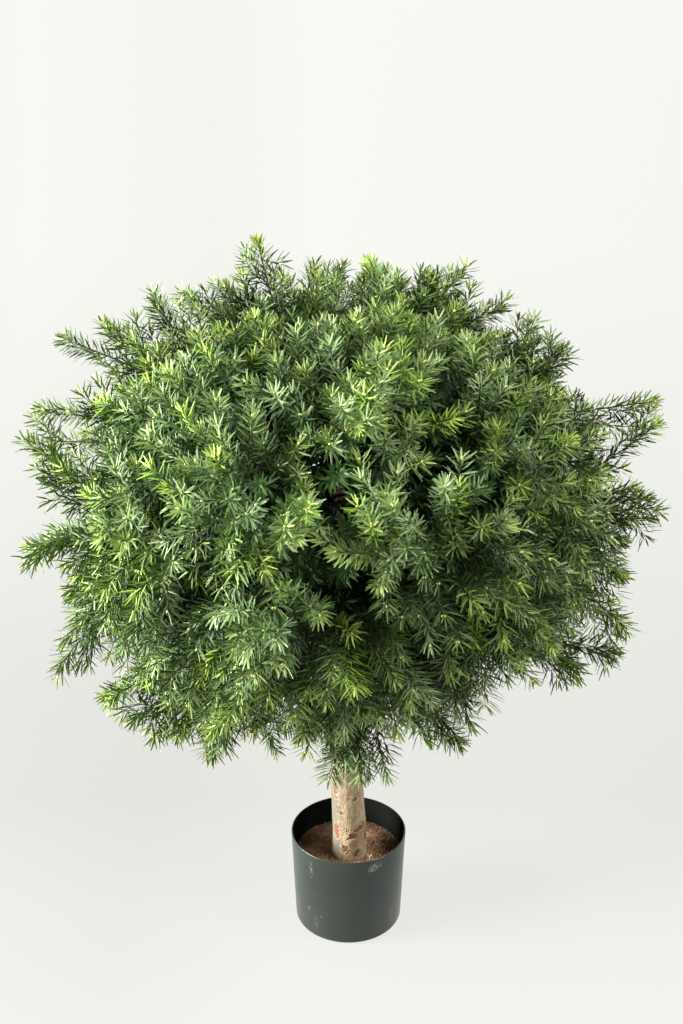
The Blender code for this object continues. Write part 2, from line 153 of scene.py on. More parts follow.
# Side shoots: where they leave a twig, as shares of its length, how they lean in degrees, and their play.
SIDE_SHOOT_RUN = (0.34, 0.90)
SIDE_SHOOT_LEANS = (26, 50)
LONG_SIDE_SHOOT_RUN = (0.50, 0.84)
LONG_SIDE_SHOOT_LEANS = (16, 34)
SIDE_PLACE_PLAY = 0.03
SIDE_TURN_PLAY = 0.35
SIDE_LENGTHS = (0.75, 1.15)
SIDE_ROOT_LENGTH = 1.18  # the factor at the twig's root, and what it loses up to the twig's tip
SIDE_LENGTH_LOSS = 0.55
TURN_HEIGHT = 0.08  # how far above the crown's middle side shoots turn neither up nor down
TURN_DEPTH = 0.20
LIFT = 0.70
DROOP = 0.60
HANGING_DROOP = 0.30  # from here on a side shoot counts as hanging, and is longer
HANGING_LENGTH = 1.25
FORWARD_AWAY = 0.62  # how much of the way forward is the way it left its twig, and how much is outward
FORWARD_OUT = 0.30
TIP_AWAY = 0.45  # how much of the way to its tip is the way it left its twig, and how much is forward
TIP_FORWARD = 0.55
SHORTEST_SHOOT = 0.035
TRUNK_CLEARANCE = 0.006
CLEARANCE_SHARES = (0.0, 0.33, 0.66, 1.0)


def unit(vectors):
    return vectors / np.maximum(np.linalg.norm(vectors, axis=-1, keepdims=True), SHORTEST_VECTOR)


def spiral(count, lowest_sine):
    """Directions spread evenly by the golden angle, from the top down to the lowest elevation's sine."""
    k = np.arange(count)
    sine = 1 - (k + 0.5) * (1 - lowest_sine) / count
    flat = np.sqrt(1 - sine * sine)
    return np.stack((flat * np.cos(k * GOLDEN_ANGLE), flat * np.sin(k * GOLDEN_ANGLE), sine), axis=-1)


def outline_directions(turns, reach):
    """The ways from the crown's middle to points of its outline, from turns in degrees and reaches."""
    x, y = np.cos(np.radians(turns)), np.sin(np.radians(turns))
    across = np.stack((x, y * math.sin(OUTLINE_RISE), y * math.cos(OUTLINE_RISE)), axis=-1)
    nearer = np.array((0.0, -math.cos(OUTLINE_RISE), math.sin(OUTLINE_RISE)))
    share = (np.ones(len(turns)) * reach / OUTLINE_DISTANCE)[:, None]
    return across * np.sqrt(1 - share * share) + nearer * share


def crown_reach(directions):
    """How far the crown's surface lies from its middle in each direction."""
    x, y, z = directions.T
    steep = np.abs(z) / np.where(z > 0, CROWN_RISE, CROWN_DROP)
    flat = np.hypot(x, y) / CROWN_HALF_WIDTH
    reach = (flat**CROWN_SQUARENESS + steep**CROWN_SQUARENESS) ** (-1 / CROWN_SQUARENESS)
    reach += LUMP_HEIGHT * np.prod(np.sin(directions * LUMP_WAVES + LUMP_SHIFTS), axis=1)
    turns = np.arange(len(SWELLINGS)) * 360 / len(SWELLINGS)
    for way, height in zip(outline_directions(turns, CROWN_HALF_WIDTH), SWELLINGS):
        turn = np.arccos(np.clip(directions @ way, -1, 1)) / SWELLING_SPREAD
        reach += height * np.exp(-turn * turn)
    return reach


def long_shoots():
    """The ways to the tips of the long shoots, the outline's own before their twins, and their reaches."""
    turns, reach = np.array(LONG_SHOOTS).T
    own = outline_directions(turns, reach)
    twins = own[1::2, (1, 0, 2)] * (1, -1, 1)
    return np.concatenate((own, twins)), np.concatenate((reach, reach[1::2]))


def sky_notches(directions):
    """How deep the sky cuts into the outline in each direction: notches that run from front to back."""
    x, y, z = directions.T
    rise, nearer = math.sin(OUTLINE_RISE), math.cos(OUTLINE_RISE)
    turns = np.arctan2(y * rise + z * nearer, x)
    toward = (z * rise - y * nearer) / SKY_NOTCH_RUN
    depth = np.zeros(len(directions))
    for turn, deepest in SKY_NOTCHES:
        off = (turns - math.radians(turn) + math.pi) % FULL_TURN - math.pi
        depth += deepest * np.exp(-((off / SKY_NOTCH_SPREAD) ** 2) - toward * toward)
    return depth


def front_relief(directions):
    """How far the foliage stands out or lies back in each direction."""
    azimuth, elevation, height = np.array(FRONT_RELIEF).T
    azimuth, elevation = np.radians(azimuth), np.radians(elevation)
    flat = np.cos(elevation)
    ways = np.stack((flat * np.cos(azimuth), flat * np.sin(azimuth), np.sin(elevation)), axis=-1)
    turn = np.arccos(np.clip(directions @ ways.T, -1, 1)) / RELIEF_SPREAD
    return np.exp(-turn * turn) @ height


def shoot_limit(directions):
    """How far shoots may reach: the crown's surface with long shoots, relief and notches."""
    ways, reach = long_shoots()
    turn = np.arccos(np.clip(directions @ ways.T, -1, 1)) / LONG_SHOOT_SPREAD
    excess = np.max((reach - crown_reach(ways)) * np.exp(-turn * turn), axis=1)
    changes = front_relief(directions) - sky_notches(directions)
    return crown_reach(directions) + np.maximum(excess, 0) + changes


def trunk_at(height):
    """x and y of the trunk's middle and its radius, at one height or at many."""
    return [np.interp(height, TRUNK_KNOTS[:, 2], TRUNK_KNOTS[:, column]) for column in (0, 1, 3)]


def mass_directions():
    return spiral(MASS_COUNT, LOWEST_MASS_SINE)


def bough_points(index, direction):
    """The bends of a bough. The first goes on from the trunk's tip, and the others leave it lower down."""
    last = [CROWN_MIDDLE + direction * BOUGH_BEND, CROWN_MIDDLE + direction * BOUGH_REACH]
    if index == 0:
        top = TRUNK_KNOTS[-1, :3]
        bend = top + (last[1] - top) * LEADER_BEND + np.array((0, 0, LEADER_BEND_RISE))
        return np.array([top, top + np.array((0, 0, LEADER_RISE)), bend, last[1]])
    share = (index - 1) / (MASS_COUNT - 2)
    height = HIGHEST_BOUGH + (LOWEST_BOUGH - HIGHEST_BOUGH) * share
    x, y, _ = trunk_at(height)
    base = np.array((x, y, height))
    turn = math.atan2(direction[1], direction[0])
    out, up = BOUGH_SHOULDER
    shoulder = base + np.array((out * math.cos(turn), out * math.sin(turn), up))
    return np.array([base, shoulder] + last)


# ---- meshes from arrays


def require(condition, message):
    """Stops an operator that can't finish its piece."""
    if not condition:
        raise RuntimeError(message)


def add_piece(name, vertices, faces, materials, slot, nodes=(), material_index=None, smooth=False):
    """One joined mesh that rides on the tree's body, takes the given materials and may stand for solids,
    whose parts it hides. The slot is not used.
    """
    vertices = np.asarray(vertices, dtype=np.float32).reshape(-1, 3)
    require(len(vertices) and len(faces), f"{name} came out empty")
    require(np.isfinite(vertices).all(), f"{name} has a corner without a place")
    mesh = bpy.data.meshes.new(name)
    mesh.from_pydata(vertices, [], faces)
    for material in materials:
        mesh.materials.append(material)
    if material_index is not None:
        mesh.polygons.foreach_set("material_index", np.asarray(material_index, dtype=np.int32))
    if smooth:
        mesh.shade_smooth()
    mesh.update()
    piece = bpy.data.objects.new(name, mesh)
    bpy.context.scene.collection.objects.link(piece)
    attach(piece, BODY)
    if nodes:
        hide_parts(*nodes)
    return piece


def ring_faces(rings, sides):
    """Four-sided faces between closed rings of corners that follow one another."""
    first = np.arange(rings - 1)[:, None] * sides
    here = first + np.arange(sides)
    there = first + (np.arange(sides) + 1) % sides
    return np.stack((here, there, there + sides, here + sides), axis=-1).reshape(-1, 4)


def copied_faces(faces, count, corners):
    """The faces of many copies of a shape that has so many corners."""
    return (faces[None] + np.arange(count)[:, None, None] * corners).reshape(-1, faces.shape[1])


def stack(parts):
    """Joins lists of (vertices, faces) into one."""
    vertices = np.concatenate([part[0] for part in parts])
    offsets = np.cumsum([0] + [len(part[0]) for part in parts[:-1]])
    faces = np.concatenate([part[1] + offset for part, offset in zip(parts, offsets)])
    return vertices, faces


class Paths:
    """Many bends at once: each from a root past a guide point to a tip, with the number of its mass."""

    def __init__(self, root, guide, tip, home):
        self.root, self.guide, self.tip, self.home = root, guide, tip, home
        start = unit(guide - root)
        helper = np.where(np.abs(start[:, 2:3]) < STEEP, (0.0, 0.0, 1.0), (1.0, 0.0, 0.0))
        self.side = unit(np.cross(start, helper))

    def __len__(self):
        return len(self.root)

    def fields(self):
        return self.root, self.guide, self.tip, self.home

    def take(self, keep):
        return Paths(*(field[keep] for field in self.fields()))

    def joined(self, other):
        return Paths(*map(np.concatenate, zip(self.fields(), other.fields())))

    def lengths(self):
        middle = self.points(np.full((len(self), 1), 0.5))[:, 0]
        return np.linalg.norm(middle - self.root, axis=1) + np.linalg.norm(self.tip - middle, axis=1)

    def points(self, shares):
        s = shares[..., None]
        root, guide, tip = self.root[:, None], self.guide[:, None], self.tip[:, None]
        return (1 - s) ** 2 * root + 2 * s * (1 - s) * guide + s * s * tip

    def frames(self, shares):
        """The direction of travel and two directions across it, at each share of each path."""
        s = shares[..., None]
        along = unit((1 - s) * (self.guide - self.root)[:, None] + s * (self.tip - self.guide)[:, None])
        side = self.side[:, None] * np.ones_like(along)
        side = unit(side - along * np.sum(side * along, axis=-1, keepdims=True))
        return along, side, np.cross(along, side)


def tubes(paths, radius_start, radius_end, stations, sides):
    """Tapering tubes along paths, of one radius or of one for each path: vertices and four-sided faces."""
    count = len(paths)
    shares = np.tile(np.linspace(0, 1, stations), (count, 1))
    _, across, up = paths.frames(shares)
    thick, thin = (np.broadcast_to(radius, count)[:, None] for radius in (radius_start, radius_end))
    radii = thick + (thin - thick) * shares
    turn = np.arange(sides) * FULL_TURN / sides
    ring = across[:, :, None] * np.cos(turn)[:, None] + up[:, :, None] * np.sin(turn)[:, None]
    points = paths.points(shares)[:, :, None] + ring * radii[:, :, None, None]
    return points.reshape(-1, 3), copied_faces(ring_faces(stations, sides), count, stations * sides)


# ---- the growth of the foliage


def stems():
    """The stem of each mass: from its bough's tip to its heart."""
    directions = mass_directions()
    start = CROWN_MIDDLE + directions * BOUGH_REACH
    heart = CROWN_MIDDLE + directions * (crown_reach(directions) * CORE_DEPTH_SHARE)[:, None]
    return Paths(start, (start + heart) / 2, heart, np.arange(MASS_COUNT))


def grow_twigs(settings, rng):
    """The main twigs, one to each target on the crown, the long shoots last."""
    ways, long_reach = long_shoots()
    aims = spiral(settings.twigs, LOWEST_SHOOT_SINE)
    outlined = ways[: len(LONG_SHOOTS)]
    aims = aims[np.max(aims @ outlined.T, axis=1) < math.cos(LONG_SHOOT_ROOM)]
    reach = shoot_limit(aims) + rng.uniform(*TWIG_REACH, len(aims))
    aims = np.concatenate((aims, ways))
    reach = np.concatenate((reach - settings.tip_overhang, long_reach - settings.long_tip_overhang))
    masses = mass_directions()
    home = np.argmax(aims @ masses.T, axis=1)
    root = stems().take(home).points(rng.uniform(*TWIG_ROOTS, (len(aims), 1)))[:, 0]
    tip = CROWN_MIDDLE + aims * reach[:, None]
    length = np.linalg.norm(tip - root, axis=1, keepdims=True)
    guide = root + (tip - root) * SHOOT_GUIDE + masses[home] * length * SHOOT_ARCH
    guide += rng.normal(0, TWIG_JITTER, guide.shape)
    bend = np.clip((aims[:, 2] - TWIG_TURN_SINE) / TWIG_TURN_DEPTH, -1, 1) * TWIG_BEND
    bend[-len(ways):] = 0
    guide[:, 2] -= bend * length[:, 0]
    return Paths(root, guide, tip, home)


def grow_inner_shoots(settings, rng):
    """Short shoots that fill each mass behind its twigs, rooted along its stem and its bough's end."""
    aims = spiral(settings.inner_shoots, LOWEST_SHOOT_SINE)
    home = np.argmax(aims @ mass_directions().T, axis=1)
    root = stems().take(home).points(rng.uniform(*INNER_ROOTS, (len(aims), 1)))[:, 0]
    depth = rng.uniform(settings.inner_near, settings.inner_far, len(aims))
    tip = CROWN_MIDDLE + aims * (crown_reach(aims) * depth)[:, None]
    guide = (root + tip) / 2 + rng.normal(0, INNER_JITTER, root.shape)
    return Paths(root, guide, tip, home)


def grow_side_shoots(twigs, count, run, leans, full_length, rng):
    """Side shoots along a run of each twig, set round it by the golden angle and bending outward."""
    n = len(twigs)
    share = np.linspace(*run, count)[None] + rng.uniform(-SIDE_PLACE_PLAY, SIDE_PLACE_PLAY, (n, count))
    along, side, up = twigs.frames(share)
    turn = np.arange(count)[None] * GOLDEN_ANGLE + rng.uniform(0, FULL_TURN, (n, 1))
    turn = (turn + rng.uniform(-SIDE_TURN_PLAY, SIDE_TURN_PLAY, (n, count)))[..., None]
    lean = np.radians(rng.uniform(*leans, (n, count)))[..., None]
    out = side * np.cos(turn) + up * np.sin(turn)
    away = unit(along * np.cos(lean) + out * np.sin(lean))
    start = twigs.points(share)
    climb = np.clip((start[..., 2:] - CROWN_MIDDLE[2] - TURN_HEIGHT) / TURN_DEPTH, -DROOP, LIFT)
    length = full_length * rng.uniform(*SIDE_LENGTHS, (n, count))
    length *= SIDE_ROOT_LENGTH - SIDE_LENGTH_LOSS * share
    length = (length * np.where(climb[..., 0] < -HANGING_DROOP, HANGING_LENGTH, 1.0))[..., None]
    outward = unit(start - CROWN_MIDDLE)
    forward = unit(away * FORWARD_AWAY + outward * FORWARD_OUT + climb * (0.0, 0.0, 1.0))
    guide = start + away * (length * 0.5)
    tip = start + (away * TIP_AWAY + forward * TIP_FORWARD) * length
    corners = (corner.reshape(-1, 3) for corner in (start, guide, tip))
    return Paths(*corners, np.repeat(twigs.home, count))


def kept_in_crown(shoots, settings):
    """The shoots that stay inside the crown's reach and clear of the trunk."""
    step = shoots.tip - CROWN_MIDDLE
    keep = np.linalg.norm(step, axis=1) < shoot_limit(unit(step)) + settings.reach_limit
    for share in CLEARANCE_SHARES:
        x, y, z = shoots.points(np.full((len(shoots), 1), share))[:, 0].T
        middle, _, radius = trunk_at(z)
        keep &= (np.hypot(x - middle, y) > radius + TRUNK_CLEARANCE) | (z > TRUNK_KNOTS[-1, 2])
    return shoots.take(keep)


def drawn_in(shoots, settings):
    """The shoots with each tip that stands out of the crown's reach drawn back to it."""
    step = shoots.tip - CROWN_MIDDLE
    far = np.linalg.norm(step, axis=1, keepdims=True)
    allowed = shoot_limit(step / far)[:, None] + settings.reach_limit
    tip = CROWN_MIDDLE + step * np.minimum(allowed / far, 1.0)
    return Paths(shoots.root, shoots.guide + (tip - shoots.tip) * 0.5, tip, shoots.home)


# Needles: their number and places along a shoot, their lean in degrees, and how a hanging shoot's differ.
FEWEST_NEEDLES = 6
NEEDLE_CROWDING = 1.35  # above 1, needles stand closer toward the tip
NEEDLE_TURN_PLAY = 0.16
NEEDLE_LEAN = 62
NEEDLE_LEAN_PLAY = 4
NEEDLE_CURL = (-12, 7)  # mean and spread of the change of lean from a needle's foot to its end
NEEDLE_SAG = 0.06
NEEDLE_ROLL = 0.55
NEEDLE_LENGTHS = (0.90, 1.08)
NEEDLE_WIDTHS = (0.85, 1.12)
TUFT_START = 0.76  # from here to the shoot's tip the needles close to a tuft and grow shorter
TUFT_CLOSING = 25
TUFT_SHORTENING = 0.40
FIRST_LENGTH = 0.75
FIRST_GROWTH = 1.6
HANG_GAIN = 1.3
HANGING_GAPS = 0.12
HANGING_PARTING = 0.60
HANGING_GROWTH = 0.20
HANGING_SLIMNESS = 0.12
HANGING_LEAN = 7
NEEDLE_FOLD = 0.35
NEEDLE_END = 0.42  # breadth of the blunt end
PLAIN_BREADTH = 1.5
PLAIN_LENGTH = 1.1
NEEDLE_CORNERS = 6
NEEDLE_FACES = np.array(((0, 1, 2), (0, 2, 3), (1, 4, 2), (4, 5, 2), (2, 5, 3)))
PLAIN_NEEDLE_CORNERS = 4
PLAIN_NEEDLE_FACES = np.array(((0, 1, 3), (0, 3, 2)))


def needles(shoots, start_share, spacing, plain, settings, rng):
    """Needles round each shoot by the golden angle: vertices, the shoot of each and its place on it.

    A needle is a folded blade with a blunt end. A plain one, for the shade inside, is a flat and wider leaf.
    """
    length = shoots.lengths() * (1 - start_share)
    hang = np.clip(-unit(shoots.tip - shoots.root)[:, 2] * HANG_GAIN, 0, 1)
    numbers = np.maximum((length / spacing / (1 + HANGING_GAPS * hang)).astype(int), FEWEST_NEEDLES)
    owner = np.repeat(np.arange(len(shoots)), numbers)
    total = len(owner)
    order = np.arange(total) - np.repeat(np.cumsum(numbers) - numbers, numbers)
    place = 1 - (1 - (order + 0.5) / numbers[owner]) ** NEEDLE_CROWDING
    share = (start_share + (1 - start_share) * place)[:, None]
    path = shoots.take(owner)
    along, side, up = (axis[:, 0] for axis in path.frames(share))
    point = path.points(share)[:, 0]
    hang = hang[owner]
    turn = order * GOLDEN_ANGLE + rng.uniform(0, FULL_TURN, len(shoots))[owner]
    turn += rng.normal(0, NEEDLE_TURN_PLAY, total)
    out = unit(side * np.cos(turn)[:, None] + up * (np.sin(turn) * (1 - HANGING_PARTING * hang))[:, None])
    tuft = np.clip((place - TUFT_START) / (1 - TUFT_START), 0, 1)
    lean = NEEDLE_LEAN + HANGING_LEAN * hang - TUFT_CLOSING * tuft**3
    lean = np.radians(lean + rng.normal(0, NEEDLE_LEAN_PLAY, total))[:, None]
    end_lean = lean + np.radians(rng.normal(*NEEDLE_CURL, total))[:, None]
    leave = along * np.cos(lean) + out * np.sin(lean)
    arrive = along * np.cos(end_lean) + out * np.sin(end_lean) - np.array((0, 0, NEEDLE_SAG))
    size = settings.needle_length * rng.uniform(*NEEDLE_LENGTHS, total) * (1 - TUFT_SHORTENING * tuft**4)
    size *= np.clip(FIRST_LENGTH + place * FIRST_GROWTH, 0, 1) * (1 + HANGING_GROWTH * hang)
    roll = rng.normal(0, NEEDLE_ROLL, total)[:, None]
    width = np.cross(along, out) * np.cos(roll) + along * np.sin(roll)
    half = settings.needle_width / 2 * rng.uniform(*NEEDLE_WIDTHS, total) * (1 - HANGING_SLIMNESS * hang)
    fold = np.cross(leave, width)

    def station(step, breadth, sink=0.0):
        """The left side, the middle and the right side of each needle at a share of its length."""
        middle = point + (leave * step + (arrive - leave) * step**2 / 2) * size[:, None]
        wing = width * (half * breadth)[:, None]
        return middle - wing, middle + fold * (half * sink)[:, None], middle + wing

    if plain:
        left, _, right = station(0.5, PLAIN_BREADTH)
        rows = [point, left, right, station(PLAIN_LENGTH, 0.0)[1]]
    else:
        left, _, right = station(1.0, NEEDLE_END)
        rows = [point, *station(0.5, 1.0, NEEDLE_FOLD), left, right]
    return np.stack(rows, axis=1), owner, place


BUD_SIDES = 5
BUD_RINGS = ((0.50, 0.0), (0.42, 0.7))  # radius of each ring and its place, in shares of the bud's size
BUD_ENDS = (-0.6, 1.25)


def buds(shoots, size, shift):
    """A small pointed bud on the tip of each shoot, or beside it by a share of its size."""
    along, side, up = (axis[:, 0] for axis in shoots.frames(np.ones((len(shoots), 1))))
    turn = np.arange(BUD_SIDES) * FULL_TURN / BUD_SIDES
    ring = (side[:, None] * np.cos(turn)[:, None] + up[:, None] * np.sin(turn)[:, None]) * size
    tip = (shoots.tip + side * size * shift)[:, None]
    axis = along[:, None] * size
    rings = [tip + ring * radius + axis * place for radius, place in BUD_RINGS]
    vertices = np.concatenate((tip + axis * BUD_ENDS[0], *rings, tip + axis * BUD_ENDS[1]), axis=1)
    faces = []
    last = 2 * BUD_SIDES + 1
    for k in range(BUD_SIDES):
        a, b = 1 + k, 1 + (k + 1) % BUD_SIDES
        c, d = a + BUD_SIDES, b + BUD_SIDES
        faces += [(0, b, a), (a, b, d), (a, d, c), (c, d, last)]
    return vertices.reshape(-1, 3), copied_faces(np.array(faces), len(shoots), last + 1)


# ---- materials


def srgb(red, green, blue):
    """A linear colour from one given as a screen shows it, 0 to 255."""
    shown = (red / 255, green / 255, blue / 255)
    return (*(v / 12.92 if v <= 0.04 else ((v + 0.055) / 1.055) ** 2.4 for v in shown), 1.0)


def opaque(colour, factor=1.0, more=0.0):
    """A colour as a node takes it, paler or darker by a factor."""
    return (*(min(1.0, c * factor + more) for c in colour), 1.0)


def new_material(name, colour, roughness, specular=0.5):
    material = bpy.data.materials.new(name)
    material.use_nodes = True
    shader = material.node_tree.nodes["Principled BSDF"]
    shader.inputs["Base Color"].default_value = (*colour[:3], 1.0)
    shader.inputs["Roughness"].default_value = roughness
    shader.inputs["Specular IOR Level"].default_value = specular
    return material


class NodeTree:
    """A short way to write a material's nodes. Each value is a plain one or the output of another node."""

    def __init__(self, material):
        self.tree = material.node_tree
        self.shader = self.tree.nodes["Principled BSDF"]
        self.place = self.add("ShaderNodeTexCoord").outputs["Object"]

    def add(self, kind, **settings):
        node = self.tree.nodes.new(kind)
        for key, value in settings.items():
            setattr(node, key, value)
        return node

    def feed(self, node, values):
        """Gives values to a node's inputs, by their names or numbers."""
        for key, value in values.items():
            if isinstance(value, bpy.types.NodeSocket):
                self.tree.links.new(value, node.inputs[key])
            else:
                node.inputs[key].default_value = value

    def scaled(self, scale):
        node = self.add("ShaderNodeMapping")
        self.feed(node, {"Scale": scale, "Vector": self.place})
        return node.outputs["Vector"]

    def noise(self, scale, detail=4.0, roughness=0.55, stretch=(1, 1, 1), distortion=0.0):
        node = self.add("ShaderNodeTexNoise")
        self.feed(node, {"Scale": scale, "Detail": detail, "Roughness": roughness, "Distortion": distortion})
        self.feed(node, {"Vector": self.scaled(stretch)})
        return node.outputs["Fac"]

    def ramp(self, value, *stops):
        """A grey value from a value, by (place, grey) stops."""
        node = self.add("ShaderNodeValToRGB")
        ramp = node.color_ramp
        for element, (place, grey) in zip(ramp.elements, (stops[0], stops[-1])):
            element.position = place
            element.color = (grey, grey, grey, 1)
        for place, grey in stops[1:-1]:
            ramp.elements.new(place).color = (grey, grey, grey, 1)
        self.feed(node, {"Fac": value})
        return node.outputs["Color"]

    def mix(self, factor, first, second, blend="MIX"):
        node = self.add("ShaderNodeMix", data_type="RGBA", blend_type=blend)
        self.feed(node, {0: factor, 6: first, 7: second})
        return node.outputs[2]

    def math(self, operation, first, second):
        node = self.add("ShaderNodeMath", operation=operation)
        self.feed(node, {0: first, 1: second})
        return node.outputs[0]

    def span(self, value, start, run):
        """0 at the start of a run and 1 at its end."""
        return self.math("MULTIPLY", self.math("ADD", value, -start), 1 / run)

    def axes(self, vector):
        node = self.add("ShaderNodeSeparateXYZ")
        self.feed(node, {"Vector": vector})
        return node.outputs

    def spot(self, place, size, stretch):
        """1 at a place on the surface, fading to 0 at a distance of size."""
        away = self.add("ShaderNodeVectorMath", operation="DISTANCE")
        self.feed(away, {0: self.scaled(stretch), 1: [a * b for a, b in zip(place, stretch)]})
        fade = self.add("ShaderNodeMapRange")
        self.feed(fade, {"From Max": size, "To Min": 1.0, "To Max": 0.0, "Value": away.outputs["Value"]})
        return fade.outputs["Result"]

    def attribute(self, name):
        return self.add("ShaderNodeAttribute", attribute_name=name).outputs["Fac"]

    def bump(self, height, distance, strength):
        node = self.add("ShaderNodeBump")
        self.feed(node, {"Strength": strength, "Distance": distance, "Height": height})
        self.feed(self.shader, {"Normal": node.outputs["Normal"]})


# ---- settings


def number(name, description, default):
    return FloatProperty(name=name, description=description, default=default)


def whole_number(name, description, default):
    return IntProperty(name=name, description=description, default=default)


def metres(name, description, default):
    return FloatProperty(name=name, description=description, default=default, unit="LENGTH")


def tint(name, description, *shade):
    return FloatVectorProperty(name=name, description=description, default=srgb(*shade)[:3], subtype="COLOR")


class PotSettings(bpy.types.PropertyGroup):
    wall: metres("Wall", "Thickness of the pot's wall", 0.0024)
    edge: metres("Bottom Edge", "Radius of the rounded bottom edge", 0.006)
    colour: tint("Plastic", "Colour of the pot", 29, 36, 31)
    # The inside's colour, far darker than the plastic, is painted shade; its dull finish is the plastic's
    # own
    inside: tint("Inside", "Colour of the dull inside", 9, 12, 10)
    scuff: tint("Scuffs", "Colour of the pale scuffs", 150, 160, 156)


class FillSettings(bpy.types.PropertyGroup):
    granules: whole_number("Granules", "Number of loose coir granules", 11500)
    granule_size: metres("Granule Size", "Middle size of a granule", 0.0015)
    colour: tint("Coir", "Middle colour of the coir", 166, 132, 103)


class BarkSettings(bpy.types.PropertyGroup):
    relief: metres("Relief", "Depth of the peeled patches", 0.0011)
    pale: tint("Pale Bark", "Colour of the smooth bark", 168, 150, 120)
    warm: tint("Warm Bark", "Colour of its pinkish parts", 146, 119, 88)
    brown: tint("Peeled Bark", "Colour where the bark has peeled", 98, 66, 44)
    bough: tint("Boughs", "Colour of the boughs", 104, 72, 48)


class FoliageSettings(bpy.types.PropertyGroup):
    twigs: whole_number("Twigs", "Number of main twigs over the crown", 335)
    side_shoots: whole_number("Side Shoots", "Side shoots on each main twig", 6)
    long_side_shoots: whole_number("Long Side Shoots", "Further side shoots on each long shoot", 3)
    side_shoot_length: metres("Side Shoot", "Length of a side shoot", 0.090)
    needle_length: metres("Needle Length", "Length of a full needle", 0.0262)
    needle_width: metres("Needle Width", "Width of a needle", 0.0035)
    needle_spacing: metres("Needle Spacing", "Step along the shoot from needle to needle", 0.00158)
    inner_shoots: whole_number("Inner Shoots", "Number of shoots that fill the inside", 1900)
    inner_spacing: metres("Inner Spacing", "Step from needle to needle on the inner shoots", 0.0028)
    inner_near: number("Inner Near", "Least share of the reach for inner tips", 0.40)
    inner_far: number("Inner Far", "Greatest share of the reach for inner tips", 0.92)
    bud_size: metres("Bud", "Size of the bud at a tip", 0.0030)
    tip_overhang: metres("Tip Overhang", "How far needles stand past their twig's end", 0.016)
    long_tip_overhang: metres("Long Tip Overhang", "The same for the long shoots", 0.023)
    reach_limit: metres("Reach Limit", "How far shoots may pass the crown's reach, or fall short", -0.006)


class StageSettings(bpy.types.PropertyGroup):
    camera_height: metres("Camera Height", "Above the floor", 1.662)
    camera_distance: metres("Camera Distance", "From the pot's axis", 2.081)
    camera_side: metres("Camera Side", "To the right of the pot's axis", -0.0123)
    camera_pitch: FloatProperty(
        name="Camera Pitch", description="Downward", default=math.radians(23.0), subtype="ANGLE"
    )
    lens: number("Lens", "Focal length in millimetres", 50.0)
    key_power: number("Key Light", "Power of the left softbox", 750.0)
    side_power: number("Side Light", "Power of the right softbox", 150.0)
    top_power: number("Top Light", "Power of the overhead softbox", 15.0)
    sweep_power: number("Sweep Light", "Power of the light on the backdrop", 44.0)
    surround: number("Surround", "Brightness of the room", 0.30)
    sweep_distance: metres("Sweep Distance", "From the pot's axis back to the wall", 2.6)
    sweep_radius: metres("Sweep Radius", "Of the turn from floor to wall", 1.6)
    paper: FloatVectorProperty(
        name="Paper", description="Colour of floor and wall", default=(0.04, 0.04, 0.038), subtype="COLOR"
    )
    paper_glow: number("Paper Glow", "Light the paper gives of its own", 0.99)


class TopiarySettings(bpy.types.PropertyGroup):
    pot: PointerProperty(type=PotSettings)
    fill: PointerProperty(type=FillSettings)
    bark: PointerProperty(type=BarkSettings)
    foliage: PointerProperty(type=FoliageSettings)
    stage: PointerProperty(type=StageSettings)


# ---- pot

# Pale scuffs on the plastic: place, size, stretch and strength.
SCUFFS = (
    ((0.0455, -0.0870, 0.1600), 0.015, (1.0, 1.0, 1.5), 0.85),
    ((0.0370, -0.0905, 0.1560), 0.009, (1.0, 1.0, 1.4), 0.75),
    ((-0.0640, -0.0745, 0.1430), 0.022, (5.0, 5.0, 1.0), 0.40),
    ((-0.0690, -0.0660, 0.0560), 0.006, (1.5, 1.5, 1.0), 0.35),
    ((-0.0480, -0.0810, 0.0500), 0.004, (1.2, 1.2, 1.0), 0.50),
    ((-0.0560, -0.0760, 0.0320), 0.018, (3.0, 3.0, 1.0), 0.18),
    ((0.0740, -0.0590, 0.0400), 0.024, (3.0, 3.0, 1.0), 0.16),
)
SMOOTHEST = 0.24  # roughness of the plastic, least and most
ROUGHEST = 0.36
POT_FOOT_SHARE = 0.933  # of the rim's radius
POT_FLOOR = 0.003
FLOOR_EDGE = 0.004  # where the inside turns from floor to wall
STAND_WIDTH = 0.010  # of the ring that the pot stands on
RECESS_SLOPE = 0.003
RECESS_DEPTH = 0.0012
PINHOLE = 0.0002  # radius left open in the middle of the floor and of the underside
ROUND_STEPS = 8  # round the lip and the bottom edge
POT_SIDES = 144
INSIDE_ROWS = 5  # rows of the pot's outline that face inward, up to the rim; they take the inside's darker colour, painted shade


def pot_plastic(settings):
    material = new_material("pot_plastic", settings.colour, 0.42)
    nodes = NodeTree(material)
    cloudy = nodes.ramp(nodes.noise(9.0, 5.0, 0.6), (0.35, 0.0), (0.70, 1.0))
    surface = nodes.mix(cloudy, opaque(settings.colour), opaque(settings.colour, 1.35, 0.004))
    broken = nodes.ramp(nodes.noise(260.0, 5.0, 0.7), (0.46, 0.0), (0.60, 1.0))
    for place, size, stretch, strength in SCUFFS:
        smudge = nodes.math("MULTIPLY", nodes.spot(place, size, stretch), broken)
        surface = nodes.mix(nodes.math("MULTIPLY", smudge, strength), surface, opaque(settings.scuff))
    nodes.feed(nodes.shader, {"Base Color": surface})
    patchy = nodes.noise(34.0, 6.0, 0.65, (1, 1, 0.35))
    worn = nodes.mix(patchy, opaque((SMOOTHEST,) * 3), opaque((ROUGHEST,) * 3))
    nodes.feed(nodes.shader, {"Roughness": worn})
    nodes.bump(nodes.noise(420.0, 3.0), 0.0001, 0.35)
    return material


